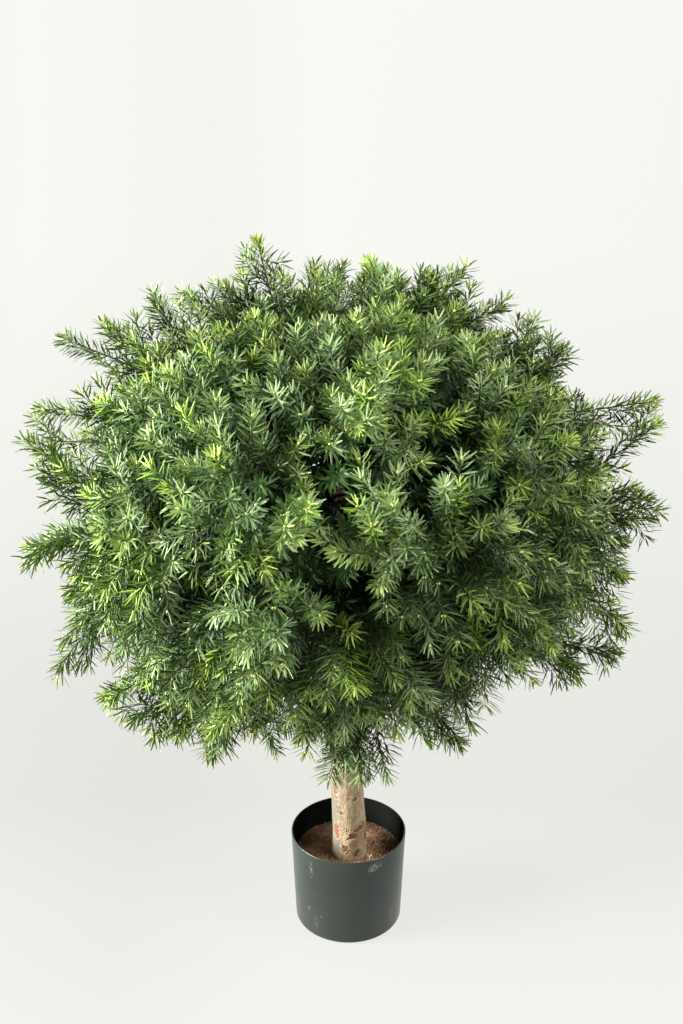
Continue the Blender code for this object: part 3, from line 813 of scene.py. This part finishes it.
def pot_profile(settings):
    """The pot's outline from the middle of its inside floor over the rim to the middle of its underside."""
    low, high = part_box("pot")
    height = high[2] - low[2]
    rim = (high[0] - low[0]) / 2
    foot = rim * POT_FOOT_SHARE
    wall, edge = settings.wall, settings.edge
    lip = wall / 2
    inner = foot + (rim - foot) * POT_FLOOR / height - wall
    points = [(PINHOLE, POT_FLOOR), (foot - wall - FLOOR_EDGE, POT_FLOOR), (inner, POT_FLOOR + FLOOR_EDGE)]
    for step in range(ROUND_STEPS + 1):
        turn = math.pi - math.pi * step / ROUND_STEPS
        points.append((rim - lip + lip * math.cos(turn), height - lip + lip * math.sin(turn)))
    for step in range(ROUND_STEPS + 1):
        turn = math.pi / 2 * step / ROUND_STEPS
        points.append((foot - edge + edge * math.cos(turn), edge - edge * math.sin(turn)))
    stand = foot - edge - STAND_WIDTH
    return points + [(stand, 0.0), (stand - RECESS_SLOPE, RECESS_DEPTH), (PINHOLE, RECESS_DEPTH)]


class TOPIARY_OT_make_pot(bpy.types.Operator):
    """Make the plastic pot as a turned shell"""

    bl_idname = "topiary.make_pot"
    bl_label = "Pot"

    def execute(self, context):
        settings = context.scene.topiary.pot
        radius, height = np.array(pot_profile(settings)).T[..., None]
        rows = len(radius)
        turn = np.arange(POT_SIDES) * FULL_TURN / POT_SIDES
        points = np.stack((radius * np.cos(turn), radius * np.sin(turn), height + turn * 0), axis=-1)
        # Faces that face inward take the darker inside material: painted shade
        inside = np.repeat(np.arange(rows - 1) < INSIDE_ROWS, POT_SIDES)
        dull = new_material("pot_inside", settings.inside, 0.85, 0.06)
        materials = [pot_plastic(settings), dull]
        add_piece("pot_shell", points, ring_faces(rows, POT_SIDES), materials, "pot", ["pot"], inside, True)
        return {"FINISHED"}


# ---- fill

# The darkest brown serves both for dark granules and for the painted shade toward the wall
COIR_SHADES = ((0.42, "coir_dark"), (0.78, "coir_brown"), (1.00, "coir_red"), (1.45, "coir_light"))
BED_ODDS = (0.45, 0.40, 0.15)  # of the shades, over the bed's faces and over the granules
GRANULE_ODDS = (0.30, 0.42, 0.255, 0.025)
WALL_SHADE_FROM = 0.66  # shares of the radius over which painted shade turns the coir dark toward the wall
WALL_SHADE_RUN = 0.24
COIR_GAP = 0.0006  # between the coir and the wall
BED_RINGS = 46
BED_SPOKES = 150
BED_SINK = 0.001
BED_LUMPS = 0.0016
GRANULE_GAP = 0.001  # between the middles of the granules and the bed's edge
GRANULE_SPREAD = (-0.25, 0.42)  # mean and spread of the logarithm of a granule's size
GRANULE_LIFT = 0.0012
GRANULE_SCALE = 0.6
GRANULE_FLATNESS = (0.25, 0.75)
GRANULE_SKEW = 0.16
GRANULE_BOX = np.array(((0, 2, 3, 1), (4, 5, 7, 6), (0, 1, 5, 4), (2, 6, 7, 3), (0, 4, 6, 2), (1, 3, 7, 5)))
FIBRES = 46
FIBRE_PLACES = (0.15, 0.9)  # shares of the bed's area, from its middle outward
FIBRE_HEIGHT = 0.0006
FIBRE_LENGTH = 0.0055
FIBRE_FLATNESS = (1, 1, 0.12)
FIBRE_ARCH = (0.0, 0.0, 0.0022)
FIBRE_RADIUS = 0.00022
FIBRE_TAPER = 0.8
# The forked scrap beside the stem: its foot, the steps of its stalk and two arms, and their radius.
FORK_FOOT = (0.0362, -0.0290, 0.0010)
FORK_STEPS = ((0.0004, -0.001, 0.0075), (-0.0036, 0.0, 0.0062), (0.0036, 0.0, 0.0060))
FORK_RADIUS = 0.00085


def coir_materials(settings):
    """Four browns for the granules and the bed, and a pale one for fibres."""
    browns = [(name, opaque(settings.colour, factor)) for factor, name in COIR_SHADES]
    materials = [new_material(name, brown, 0.95, 0.1) for name, brown in browns]
    return materials + [new_material("coir_fibre", srgb(196, 176, 140), 0.8, 0.2)]


def coir_bed(radius, level):
    """The lumpy top of the coir, in rings round its middle."""
    vertices = [(0.0, 0.0, level)]
    for ring in range(1, BED_RINGS + 1):
        r = radius * ring / BED_RINGS
        for k in range(BED_SPOKES):
            turn = FULL_TURN * k / BED_SPOKES
            place = Vector((r * math.cos(turn), r * math.sin(turn), 0.0))
            lumps = noise.fractal(place * 90, 0.6, 2.0, 3) * BED_LUMPS + noise.noise(place * 22) * BED_LUMPS
            vertices.append((place.x, place.y, level - BED_SINK + lumps))
    k = np.arange(BED_SPOKES)
    middle = np.stack((k * 0, 1 + k, 1 + (k + 1) % BED_SPOKES), axis=-1)
    halves = ring_faces(BED_RINGS, BED_SPOKES)[:, (0, 3, 2, 0, 2, 1)].reshape(-1, 3) + 1
    return np.array(vertices), np.concatenate((middle, halves))


def with_painted_wall_shade(shade, share, rng):
    """The shades with more and more of them set to the darkest, painted shade toward the wall, by their
    shares of the radius.
    """
    return np.where(rng.uniform(0, 1, len(share)) < (share - WALL_SHADE_FROM) / WALL_SHADE_RUN, 0, shade)


def granules(radius, level, settings, rng):
    """Loose chips on the bed, squashed boxes with their corners moved: vertices, faces and shades."""
    total = settings.granules
    corner = np.array([(x, y, z) for z in (-1, 1) for y in (-1, 1) for x in (-1, 1)], dtype=float)
    r = radius * np.sqrt(rng.uniform(0, 1, total))
    turn = rng.uniform(0, FULL_TURN, total)
    size = settings.granule_size * rng.lognormal(*GRANULE_SPREAD, total)
    height = level + rng.uniform(-GRANULE_LIFT, GRANULE_LIFT, total)
    middle = np.stack((r * np.cos(turn), r * np.sin(turn), height), axis=-1)
    shape = corner[None] * rng.uniform(*GRANULE_FLATNESS, (total, 1, 3))
    shape = shape + rng.normal(0, GRANULE_SKEW, (total, len(corner), 3))
    spin = rng.normal(0, 1, (total, 3, 3))
    first = unit(spin[:, 0])
    second = unit(spin[:, 1] - first * np.sum(spin[:, 1] * first, axis=1, keepdims=True))
    turned = np.stack((first, second, np.cross(first, second)), axis=1)
    vertices = middle[:, None] + (shape @ turned) * size[:, None, None] * GRANULE_SCALE
    # Painted shade: granules near the wall turn dark
    shade = with_painted_wall_shade(rng.choice(len(GRANULE_ODDS), total, p=GRANULE_ODDS), r / radius, rng)
    return vertices, copied_faces(GRANULE_BOX, total, len(corner)), np.repeat(shade, len(GRANULE_BOX))


def fibres(radius, level, rng):
    """Fibres strewn on the coir. The first three make the forked scrap."""
    turn = rng.uniform(0, FULL_TURN, FIBRES)
    r = radius * np.sqrt(rng.uniform(*FIBRE_PLACES, FIBRES))
    root = np.stack((r * np.cos(turn), r * np.sin(turn), np.full(FIBRES, level + FIBRE_HEIGHT)), axis=-1)
    step = rng.normal(0, FIBRE_LENGTH, (FIBRES, 3)) * FIBRE_FLATNESS
    arch = np.tile(FIBRE_ARCH, (FIBRES, 1))
    thick = np.full(FIBRES, FIBRE_RADIUS)
    fork = slice(0, len(FORK_STEPS))
    root[fork] = np.array((0.0, 0.0, level)) + FORK_FOOT
    root[1 : fork.stop] += FORK_STEPS[0]
    step[fork] = FORK_STEPS
    arch[fork] = 0
    thick[fork] = FORK_RADIUS
    paths = Paths(root, root + step * 0.5 + arch, root + step, np.zeros(FIBRES, dtype=int))
    return tubes(paths, thick, thick * FIBRE_TAPER, 6, 4)


class TOPIARY_OT_make_fill(bpy.types.Operator):
    """Make the coir in the pot: its lumpy bed, loose granules and a few fibres"""

    bl_idname = "topiary.make_fill"
    bl_label = "Coir Fill"

    def execute(self, context):
        settings = context.scene.topiary.fill
        rng = np.random.default_rng(SEED + 1)
        low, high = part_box("fill")
        radius = (high[0] - low[0]) / 2 - COIR_GAP
        level = high[2]
        materials = coir_materials(settings)
        bed, faces = coir_bed(radius, level)
        shade = rng.choice(len(BED_ODDS), len(faces), p=BED_ODDS)
        # Painted shade: bed faces near the wall turn dark
        shade = with_painted_wall_shade(shade, np.hypot(*bed[faces[:, 0], :2].T) / radius, rng)
        add_piece("coir_bed", bed, faces, materials, "fill", ["fill"], shade)
        chips, faces, shade = granules(radius - GRANULE_GAP, level, settings, rng)
        add_piece("coir_granules", chips, faces, materials, "fill", (), shade)
        add_piece("coir_fibres", *fibres(radius, level, rng), materials[-1:], "fill")
        return {"FINISHED"}


# ---- trunk and boughs

# Peeled patches low on the pole: turn from the front in degrees, height, half width in degrees, half height
# and how steeply each climbs to the right.
PEELED_PATCHES = (
    (44, 0.193, 27, 0.0055, 0.010),
    (12, 0.1765, 17, 0.0065, 0.004),
    (-50, 0.186, 13, 0.0150, 0.000),
    (-12, 0.151, 15, 0.0070, -0.006),
    (22, 0.143, 14, 0.0060, 0.004),
    (74, 0.168, 12, 0.0120, 0.000),
    (-47, 0.263, 11, 0.0110, -0.010),
    (150, 0.200, 24, 0.0100, 0.008),
    (-140, 0.160, 20, 0.0120, 0.000),
    (110, 0.290, 16, 0.0080, 0.006),
)
PATCH_CLIMB = 0.6
FINE_BARK_TOP = 0.36  # above it the crown hides the pole
FINE_BARK_STEP = 0.0010
COARSE_BARK_STEP = 0.0060
BARK_SIDES = 190
NOISE_RADIUS = 0.028  # of the pole that the bark's noise is read round
BROAD_RELIEF = 0.0011
RIDGE_RELIEF = 0.00045
RIM_RELIEF = 0.0005
PAINTED_SHADE_END = -0.032  # left of it the pole is darker and greyer, painted shade, and over the run to the right that fades out
PAINTED_SHADE_RUN = 0.026


def bark_material(settings):
    """Pale bark with warm blotches, streaks, cracks and peeled patches, with painted shade that makes it
    darker and greyer on the left.
    """
    material = new_material("pole_bark", settings.pale, 0.72, 0.3)
    nodes = NodeTree(material)
    pale, warm, brown = map(opaque, (settings.pale, settings.warm, settings.brown))
    blotches = nodes.ramp(nodes.noise(38.0, 5.0, 0.65, (1, 1, 0.8)), (0.42, 0.0), (0.64, 1.0))
    surface = nodes.mix(blotches, pale, warm)
    fine = nodes.ramp(nodes.noise(210.0, 6.0, 0.75, (1, 1, 0.5)), (0.32, 0.70), (0.64, 1.10))
    surface = nodes.mix(1.0, surface, fine, "MULTIPLY")
    # Painted shade: the pole's left side is darkened and greyed
    side = nodes.span(nodes.axes(nodes.place)["X"], PAINTED_SHADE_END, PAINTED_SHADE_RUN)
    painted_shade = nodes.ramp(side, (0.0, 0.42), (0.5, 0.62), (1.0, 1.0))
    surface = nodes.mix(1.0, surface, painted_shade, "MULTIPLY")
    painted_grey_shade = nodes.ramp(side, (0.0, 0.55), (0.5, 0.38), (1.0, 0.0))
    surface = nodes.mix(painted_grey_shade, surface, srgb(94, 101, 95))
    streaks = nodes.ramp(nodes.noise(120.0, 6.0, 0.75, (1, 1, 0.45), 1.2), (0.53, 0.0), (0.68, 0.75))
    surface = nodes.mix(streaks, surface, brown)
    cracks = nodes.noise(95.0, 3.0, 0.5, (1, 1, 2.2), 1.4)
    cracks = nodes.ramp(cracks, (0.485, 0.0), (0.50, 0.55), (0.515, 0.0))
    surface = nodes.mix(nodes.math("MULTIPLY", cracks, 0.6), surface, opaque(settings.brown, 0.45))
    surface = nodes.mix(nodes.attribute("rim"), surface, srgb(186, 172, 142))
    mottled = nodes.ramp(nodes.noise(330.0, 5.0, 0.75), (0.40, 0.0), (0.62, 1.0))
    rough_brown = nodes.mix(mottled, brown, opaque(settings.brown, 1.75))
    surface = nodes.mix(nodes.attribute("peeled"), surface, rough_brown)
    nodes.feed(nodes.shader, {"Base Color": surface})
    nodes.bump(nodes.noise(190.0, 6.0, 0.7, (1, 1, 0.4)), 0.0006, 0.6)
    return material


def bough_material(settings):
    material = new_material("bough_bark", settings.bough, 0.75, 0.3)
    nodes = NodeTree(material)
    grain = nodes.ramp(nodes.noise(120.0, 5.0, 0.65), (0.35, 0.0), (0.65, 1.0))
    surface = nodes.mix(grain, opaque(settings.bough, 0.45), opaque(settings.bough))
    nodes.feed(nodes.shader, {"Base Color": surface})
    nodes.bump(nodes.noise(210.0, 5.0, 0.7), 0.0006, 0.6)
    return material


def peel_depth(turn, place):
    """How far the bark is peeled at a turn from the front: above 0 inside a patch and below 0 outside."""
    ragged = noise.fractal(place * 150, 0.65, 2.0, 5) * 0.75
    deepest = noise.fractal(place * 44, 0.8, 2.0, 3) - 0.78
    for middle, height, half_turn, half_height, climb in PEELED_PATCHES:
        off = (turn - middle + 180) % 360 - 180
        level = (place.z - height - climb * off / half_turn * PATCH_CLIMB) / half_height
        deepest = max(deepest, 1 - math.hypot(off / half_turn, level))
    return deepest + ragged


def trunk_relief(settings):
    """The pole's surface ring by ring: vertices, faces and how far each vertex is peeled or on a rim."""
    low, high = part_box("trunk")
    fine = np.arange(low[2], FINE_BARK_TOP, FINE_BARK_STEP)
    heights = np.concatenate((fine, np.arange(FINE_BARK_TOP, high[2], COARSE_BARK_STEP)))
    vertices, peeled, rims = [], [], []
    for z in heights:
        x, y, radius = trunk_at(z)
        for k in range(BARK_SIDES):
            turn = FULL_TURN * k / BARK_SIDES
            across, ahead = math.cos(turn), math.sin(turn)
            place = Vector((across * NOISE_RADIUS, ahead * NOISE_RADIUS, z))
            broad = noise.noise(place * 24) * BROAD_RELIEF
            stretched = Vector((place.x * 150, place.y * 150, z * 34))
            ridges = noise.fractal(stretched, 0.7, 2.0, 4) * RIDGE_RELIEF
            depth = peel_depth(math.degrees(math.atan2(across, -ahead)), place)
            peel = min(1.0, max(0.0, depth * 5))
            rim = max(0.0, 1 - abs(depth + 0.13) * 9)
            r = radius + broad + ridges + rim * RIM_RELIEF - settings.relief * peel
            vertices.append((x + r * across, y + r * ahead, z))
            peeled.append(peel)
            rims.append(rim)
    return vertices, ring_faces(len(heights), BARK_SIDES), {"peeled": peeled, "rim": rims}


def smooth_line(points, steps):
    """Points along a smooth line through a few bends, by Catmull and Rom's rule."""
    padded = np.concatenate((points[:1] * 2 - points[1:2], points, points[-1:] * 2 - points[-2:-1]))
    line = []
    for k in range(len(points) - 1):
        a, b, c, d = padded[k : k + 4]
        for step in range(steps):
            t = step / steps
            curve = (2 * b) + (c - a) * t + (2 * a - 5 * b + 4 * c - d) * t * t
            line.append((curve + (3 * b - a - 3 * c + d) * t**3) / 2)
    line.append(points[-1])
    return np.array(line)


def knobbly_limb(points, radii):
    """A tube along a line whose skin is uneven."""
    along = unit(np.gradient(points, axis=0))
    helper = np.array((0.0, 0.0, 1.0)) if abs(along[0, 2]) < STEEP else np.array((1.0, 0.0, 0.0))
    side = unit(np.cross(along, helper))
    up = np.cross(along, side)
    vertices = []
    for k, (point, radius) in enumerate(zip(points, radii)):
        for j in range(LIMB_SIDES):
            turn = FULL_TURN * j / LIMB_SIDES
            out = side[k] * math.cos(turn) + up[k] * math.sin(turn)
            lump = noise.fractal(Vector(point + out * radius) * 160, 0.7, 2.0, 3) * LIMB_LUMPS
            vertices.append(point + out * (radius * (1 + lump)))
    return np.array(vertices), ring_faces(len(points), LIMB_SIDES)


class TOPIARY_OT_make_trunk(bpy.types.Operator):
    """Make the bark-covered pole, with its relief and peeled patches"""

    bl_idname = "topiary.make_trunk"
    bl_label = "Trunk"

    def execute(self, context):
        settings = context.scene.topiary.bark
        vertices, faces, layers = trunk_relief(settings)
        pole = add_piece("pole", vertices, faces, [bark_material(settings)], "bark", ["trunk"], smooth=True)
        for name, values in layers.items():
            layer = pole.data.attributes.new(name, "FLOAT", "POINT")
            layer.data.foreach_set("value", np.array(values, dtype=np.float32))
        return {"FINISHED"}


class TOPIARY_OT_make_boughs(bpy.types.Operator):
    """Make the boughs that leave the pole inside the crown"""

    bl_idname = "topiary.make_boughs"
    bl_label = "Boughs"

    def execute(self, context):
        limbs = []
        for k, direction in enumerate(mass_directions()):
            line = smooth_line(bough_points(k, direction), LIMB_STEPS)
            limbs.append(knobbly_limb(line, BOUGH_RADIUS * np.linspace(1, BOUGH_TIP_TAPER, len(line))))
        materials = [bough_material(context.scene.topiary.bark)]
        nodes = [f"bough_{k + 1:02d}" for k in range(MASS_COUNT)]
        add_piece("bough_limbs", *stack(limbs), materials, "bark", nodes, smooth=True)
        return {"FINISHED"}


# ---- foliage

# Along a spray the needles step from dark at its root to pale at its tip: the pale young needles at the tip
# are the spray's own colour, and the darker steps toward the root are painted shade deeper in the crown
NEEDLE_PLACES = ("inner", "middle", "outer", "tip")
PLACE_STEPS = (0.35, 0.74, 0.965)  # along a shoot, where one place ends and the next begins
NEEDLE_SHADES = (
    ("deep", (33, 51, 20), (51, 75, 33), (70, 95, 46), (92, 117, 60)),
    ("leaf", (45, 65, 23), (74, 98, 39), (98, 121, 54), (124, 144, 74)),
    ("fresh", (54, 78, 24), (89, 117, 38), (114, 141, 51), (140, 162, 72)),
    ("lime", (60, 86, 25), (100, 132, 41), (128, 160, 54), (160, 184, 84)),
    ("blue", (52, 74, 37), (87, 112, 64), (115, 139, 87), (142, 160, 109)),
)  # of each kind of spray, place by place
SHADE_ODDS = (0.26, 0.39, 0.11, 0.03, 0.21)
SHADE_PLAY = 0.05  # spread of where a shade begins
PAINTED_LIGHT_RUN = 0.20  # painted light: sprays toward the left, the lit side, draw paler kinds
PAINTED_LIGHT_START = 0.8
PAINTED_LIGHT_GAIN = 1.9
PAINTED_LIGHT_RANGE = (-0.32, 1.0)
RELIEF_PAINTED_LIGHT = 24.0  # a metre: painted light and shade, so sprays that stand out are paler, and sprays that lie back are deeper
INNER_PAINTED_SHADE_STEPS = (0.62, 0.76)  # shares of the crown's reach where the inner needles' painted shade changes
INNER_PAINTED_SHADES = ((32, 52, 18), (41, 64, 24), (50, 76, 31))  # painted shade, darkest at the heart and paler outward
TWIG_BARE = 0.22  # share without needles, from the root: of a twig, of a side shoot and of an inner one
SHOOT_BARE = 0.06
INNER_BARE = 0.05
# Radius at the root and at the tip, stations and sides.
STEM_TUBE = (0.0042, 0.0028, 8, 8)
TWIG_TUBE = (0.0020, 0.0008, 12, 5)
SHOOT_TUBE = (0.0010, 0.0006, 6, 3)
SECOND_BUD_SHIFT = 1.1  # every second side shoot has a second bud, beside the first


class TOPIARY_OT_make_foliage(bpy.types.Operator):
    """Grow the crown: stems, twigs, side shoots, needles and buds"""

    bl_idname = "topiary.make_foliage"
    bl_label = "Foliage"

    def execute(self, context):
        settings = context.scene.topiary.foliage
        rng = np.random.default_rng(SEED)
        twigs = grow_twigs(settings, rng)
        full, each = settings.side_shoot_length, settings.side_shoots
        shoots = grow_side_shoots(twigs, each, SIDE_SHOOT_RUN, SIDE_SHOOT_LEANS, full, rng)
        shoots = kept_in_crown(shoots, settings)
        long = twigs.take(slice(-len(long_shoots()[0]), None))
        each = settings.long_side_shoots
        more = grow_side_shoots(long, each, LONG_SIDE_SHOOT_RUN, LONG_SIDE_SHOOT_LEANS, full, rng)
        more = drawn_in(more, settings)
        shoots = shoots.joined(more.take(more.lengths() > SHORTEST_SHOOT))
        inner = kept_in_crown(grow_inner_shoots(settings, rng), settings)
        self.make_needles(twigs, shoots, settings, rng)
        self.make_inner_needles(inner, settings, rng)
        self.make_twigs(twigs, shoots)
        self.make_buds(twigs, shoots, settings)
        return {"FINISHED"}

    def make_needles(self, twigs, shoots, settings, rng):
        """A piece for each mass. Each spray has a kind of shade, with a step for each place along it."""
        materials = [
            new_material(f"needle_{name}_{place}", srgb(*shade), 0.52, 0.38)
            for name, *shades in NEEDLE_SHADES
            for place, shade in zip(NEEDLE_PLACES, shades)
        ]
        on_twigs = needles(twigs, TWIG_BARE, settings.needle_spacing, False, settings, rng)
        on_shoots = needles(shoots, SHOOT_BARE, settings.needle_spacing, False, settings, rng)
        vertices = np.concatenate((on_twigs[0], on_shoots[0]))
        owner = np.concatenate((on_twigs[1], on_shoots[1] + len(twigs)))
        place = np.concatenate((on_twigs[2], on_shoots[2]))
        sprays = twigs.joined(shoots)
        # Painted light: sprays on the left and sprays that stand out draw paler kinds, sprays that lie back
        # deeper ones
        painted_light = np.clip(-sprays.tip[:, 0] / PAINTED_LIGHT_RUN - PAINTED_LIGHT_START, 0, 1)
        painted_light = np.clip(painted_light + front_relief(unit(sprays.tip - CROWN_MIDDLE)) * RELIEF_PAINTED_LIGHT, *PAINTED_LIGHT_RANGE)
        draw = rng.uniform(0, 1, len(painted_light)) ** (1 / (1 + PAINTED_LIGHT_GAIN * painted_light))
        kind = np.searchsorted(np.cumsum(SHADE_ODDS)[:-1], draw)
        # Painted shade: needles nearer a shoot's root take darker steps
        stage = np.digitize(place + rng.normal(0, SHADE_PLAY, len(place)), PLACE_STEPS)
        shade = kind[owner] * len(NEEDLE_PLACES) + stage
        for k in range(MASS_COUNT):
            mine = np.flatnonzero(sprays.home[owner] == k)
            faces = copied_faces(NEEDLE_FACES, len(mine), NEEDLE_CORNERS)
            index = np.repeat(shade[mine], len(NEEDLE_FACES))
            nodes = [f"foliage_{k + 1:02d}"]
            add_piece(f"needles_{k + 1:02d}", vertices[mine], faces, materials, "foliage", nodes, index)

    def make_inner_needles(self, inner, settings, rng):
        shades = enumerate(srgb(*shade) for shade in INNER_PAINTED_SHADES)
        materials = [new_material(f"needle_shade_{k}", shade, 0.5, 0.3) for k, shade in shades]
        vertices, owner, _ = needles(inner, INNER_BARE, settings.inner_spacing, True, settings, rng)
        # Painted shade: inner needles deeper in the crown take darker colours
        step = inner.tip - CROWN_MIDDLE
        out = np.linalg.norm(step, axis=1) / crown_reach(unit(step))
        shade = np.digitize(out + rng.normal(0, SHADE_PLAY, len(inner)), INNER_PAINTED_SHADE_STEPS)
        faces = copied_faces(PLAIN_NEEDLE_FACES, len(owner), PLAIN_NEEDLE_CORNERS)
        index = np.repeat(shade[owner], len(PLAIN_NEEDLE_FACES))
        add_piece("inner_needles", vertices, faces, materials, "foliage", (), index)

    def make_twigs(self, twigs, shoots):
        wood = new_material("twig_brown", srgb(60, 56, 30), 0.7, 0.3)
        green = new_material("twig_green", srgb(56, 64, 28), 0.6, 0.3)
        parts = [tubes(stems(), *STEM_TUBE), tubes(twigs, *TWIG_TUBE), tubes(shoots, *SHOOT_TUBE)]
        index = np.repeat((0, 0, 1), [len(part[1]) for part in parts])
        add_piece("twigs", *stack(parts), [wood, green], "foliage", (), index, True)

    def make_buds(self, twigs, shoots, settings):
        cream = new_material("bud_cream", srgb(220, 208, 128), 0.35, 0.5)
        groups = ((twigs, 0.0), (shoots, 0.0), (shoots.take(slice(None, None, 2)), SECOND_BUD_SHIFT))
        made = [buds(group, settings.bud_size, shift) for group, shift in groups]
        add_piece("buds", *stack(made), [cream], "foliage", smooth=True)


# ---- stage

PAPER_SIDE = 9.0  # how far the paper runs to each side and forward
PAPER_TOP = 6.0
PAPER_DROP = 0.0003
SWEEP_STEPS = 24
PAPER_LIGHT = (1.0, 1.0, 0.955, 1.0)
# The paper's own light: metres of paper, back from the pot and up the wall, and the level there.
GLOW = ((-0.3, 0.775), (0.0, 0.755), (0.35, 0.69), (0.8, 0.70), (3.0, 0.815), (4.0, 0.82))
GLOW_START = -0.4
GLOW_RUN = 4.6
# It is duller to the left: metres to the right of the pot, and the factor there.
SIDE_GLOW = ((-1.4, 0.85), (-1.0, 0.98), (-0.4, 0.95), (-0.1, 1.01))
SIDE_GLOW_START = -1.4
SIDE_GLOW_RUN = 1.4
ROOM_LIGHT = (1.0, 1.0, 0.985, 1.0)
LAMP_LIGHT = (1.0, 0.995, 0.975)
# Softboxes: name, place, what it is aimed at, size and the setting that holds its power.
SOFTBOXES = (
    ("key_light", (-3.5, -0.75, 1.6), CROWN_MIDDLE, 1.8, "key_power"),
    ("side_light", (2.4, -0.9, 2.8), CROWN_MIDDLE, 1.2, "side_power"),
    ("sweep_light", (0.0, 0.9, 4.2), (0.0, 2.4, 0.6), 3.0, "sweep_power"),
    ("top_light", (-0.3, -0.6, 4.2), (0.0, -0.6, 0.0), 2.4, "top_power"),
)
SENSOR_WIDTH = 36.0  # millimetres
FARTHEST_VIEW = 200.0


def sweep_paper(settings):
    """Dark paper that gives a pale, even light of its own, so that the lamps hardly show on it."""
    material = new_material("sweep_paper", settings.paper, 0.9, 0.1)
    nodes = NodeTree(material)

    def level(value, start, run, stops):
        shares = [((place - start) / run, grey) for place, grey in stops]
        return nodes.ramp(nodes.span(value, start, run), *shares)

    axes = nodes.axes(nodes.add("ShaderNodeNewGeometry").outputs["Position"])
    glow = level(nodes.math("ADD", axes["Y"], axes["Z"]), GLOW_START, GLOW_RUN, GLOW)
    duller = level(axes["X"], SIDE_GLOW_START, SIDE_GLOW_RUN, SIDE_GLOW)
    glow = nodes.math("MULTIPLY", nodes.math("MULTIPLY", glow, duller), settings.paper_glow)
    nodes.feed(nodes.shader, {"Emission Color": PAPER_LIGHT, "Emission Strength": glow})
    return material


class TOPIARY_OT_make_stage(bpy.types.Operator):
    """Set the pale floor, the soft lights and the camera"""

    bl_idname = "topiary.make_stage"
    bl_label = "Stage"

    def execute(self, context):
        settings = context.scene.topiary.stage
        self.make_floor(context.scene, settings)
        self.make_lights(context.scene, settings)
        self.make_camera(context.scene, settings)
        context.scene.view_settings.view_transform = "Standard"
        return {"FINISHED"}

    def make_floor(self, scene, settings):
        """A paper sweep: the floor, a rounded turn behind the tree and the wall above it."""
        back, radius = settings.sweep_distance, settings.sweep_radius
        line = [(-PAPER_SIDE, 0.0), (back - radius, 0.0)]
        for step in range(1, SWEEP_STEPS + 1):
            angle = math.pi / 2 * step / SWEEP_STEPS
            line.append((back - radius + radius * math.sin(angle), radius - radius * math.cos(angle)))
        line.append((back, PAPER_TOP))
        vertices = [(side, y, z - PAPER_DROP) for y, z in line for side in (-PAPER_SIDE, PAPER_SIDE)]
        faces = [(2 * k, 2 * k + 1, 2 * k + 3, 2 * k + 2) for k in range(len(line) - 1)]
        mesh = bpy.data.meshes.new("paper_sweep")
        mesh.from_pydata(vertices, [], faces)
        mesh.shade_smooth()
        mesh.materials.append(sweep_paper(settings))
        sweep = bpy.data.objects.new("paper_sweep", mesh)
        scene.collection.objects.link(sweep)

    def make_lights(self, scene, settings):
        world = bpy.data.worlds.new("surround")
        world.use_nodes = True
        surround = world.node_tree.nodes["Background"]
        surround.inputs["Color"].default_value = ROOM_LIGHT
        surround.inputs["Strength"].default_value = settings.surround
        scene.world = world
        for name, place, aim, size, power in SOFTBOXES:
            lamp = bpy.data.lights.new(name, "AREA")
            lamp.shape = "SQUARE"
            lamp.size = size
            lamp.energy = getattr(settings, power)
            lamp.color = LAMP_LIGHT
            holder = bpy.data.objects.new(name, lamp)
            holder.location = place
            holder.rotation_euler = (Vector(aim) - holder.location).to_track_quat("-Z", "Y").to_euler()
            holder.visible_camera = False
            scene.collection.objects.link(holder)

    def make_camera(self, scene, settings):
        camera = bpy.data.cameras.new("camera")
        camera.lens = settings.lens
        camera.sensor_width = SENSOR_WIDTH
        camera.clip_end = FARTHEST_VIEW
        holder = bpy.data.objects.new("camera", camera)
        holder.location = (settings.camera_side, -settings.camera_distance, settings.camera_height)
        holder.rotation_euler = (math.pi / 2 - settings.camera_pitch, 0.0, 0.0)
        scene.collection.objects.link(holder)
        scene.camera = holder
        require(scene.camera is holder, "the scene took no camera")


# ---- add-on

# Each operator and the group of its settings, in the order in which they run.
STEPS = (
    ("make_stage", "stage"),
    ("make_pot", "pot"),
    ("make_fill", "fill"),
    ("make_trunk", "bark"),
    ("make_boughs", None),
    ("make_foliage", "foliage"),
)


class TOPIARY_PT_panel(bpy.types.Panel):
    """Lists the tree's pieces"""

    bl_idname = "TOPIARY_PT_panel"
    bl_label = "Ball Topiary"
    bl_space_type = "VIEW_3D"
    bl_region_type = "UI"
    bl_category = "Topiary"

    def draw(self, context):
        settings = context.scene.topiary
        for operator, group in STEPS:
            box = self.layout.box()
            box.operator(f"topiary.{operator}")
            if group:
                for key in getattr(settings, group).__annotations__:
                    box.prop(getattr(settings, group), key)


CLASSES = (
    PotSettings,
    FillSettings,
    BarkSettings,
    FoliageSettings,
    StageSettings,
    TopiarySettings,
    TOPIARY_OT_make_pot,
    TOPIARY_OT_make_fill,
    TOPIARY_OT_make_trunk,
    TOPIARY_OT_make_boughs,
    TOPIARY_OT_make_foliage,
    TOPIARY_OT_make_stage,
    TOPIARY_PT_panel,
)


def register():
    for cls in CLASSES:
        bpy.utils.register_class(cls)
    bpy.types.Scene.topiary = PointerProperty(type=TopiarySettings)


def unregister():
    del bpy.types.Scene.topiary
    for cls in reversed(CLASSES):
        bpy.utils.unregister_class(cls)


def main():
    register()
    for operator, _ in STEPS:
        getattr(bpy.ops.topiary, operator)()


if __name__ == "__main__":
    main()
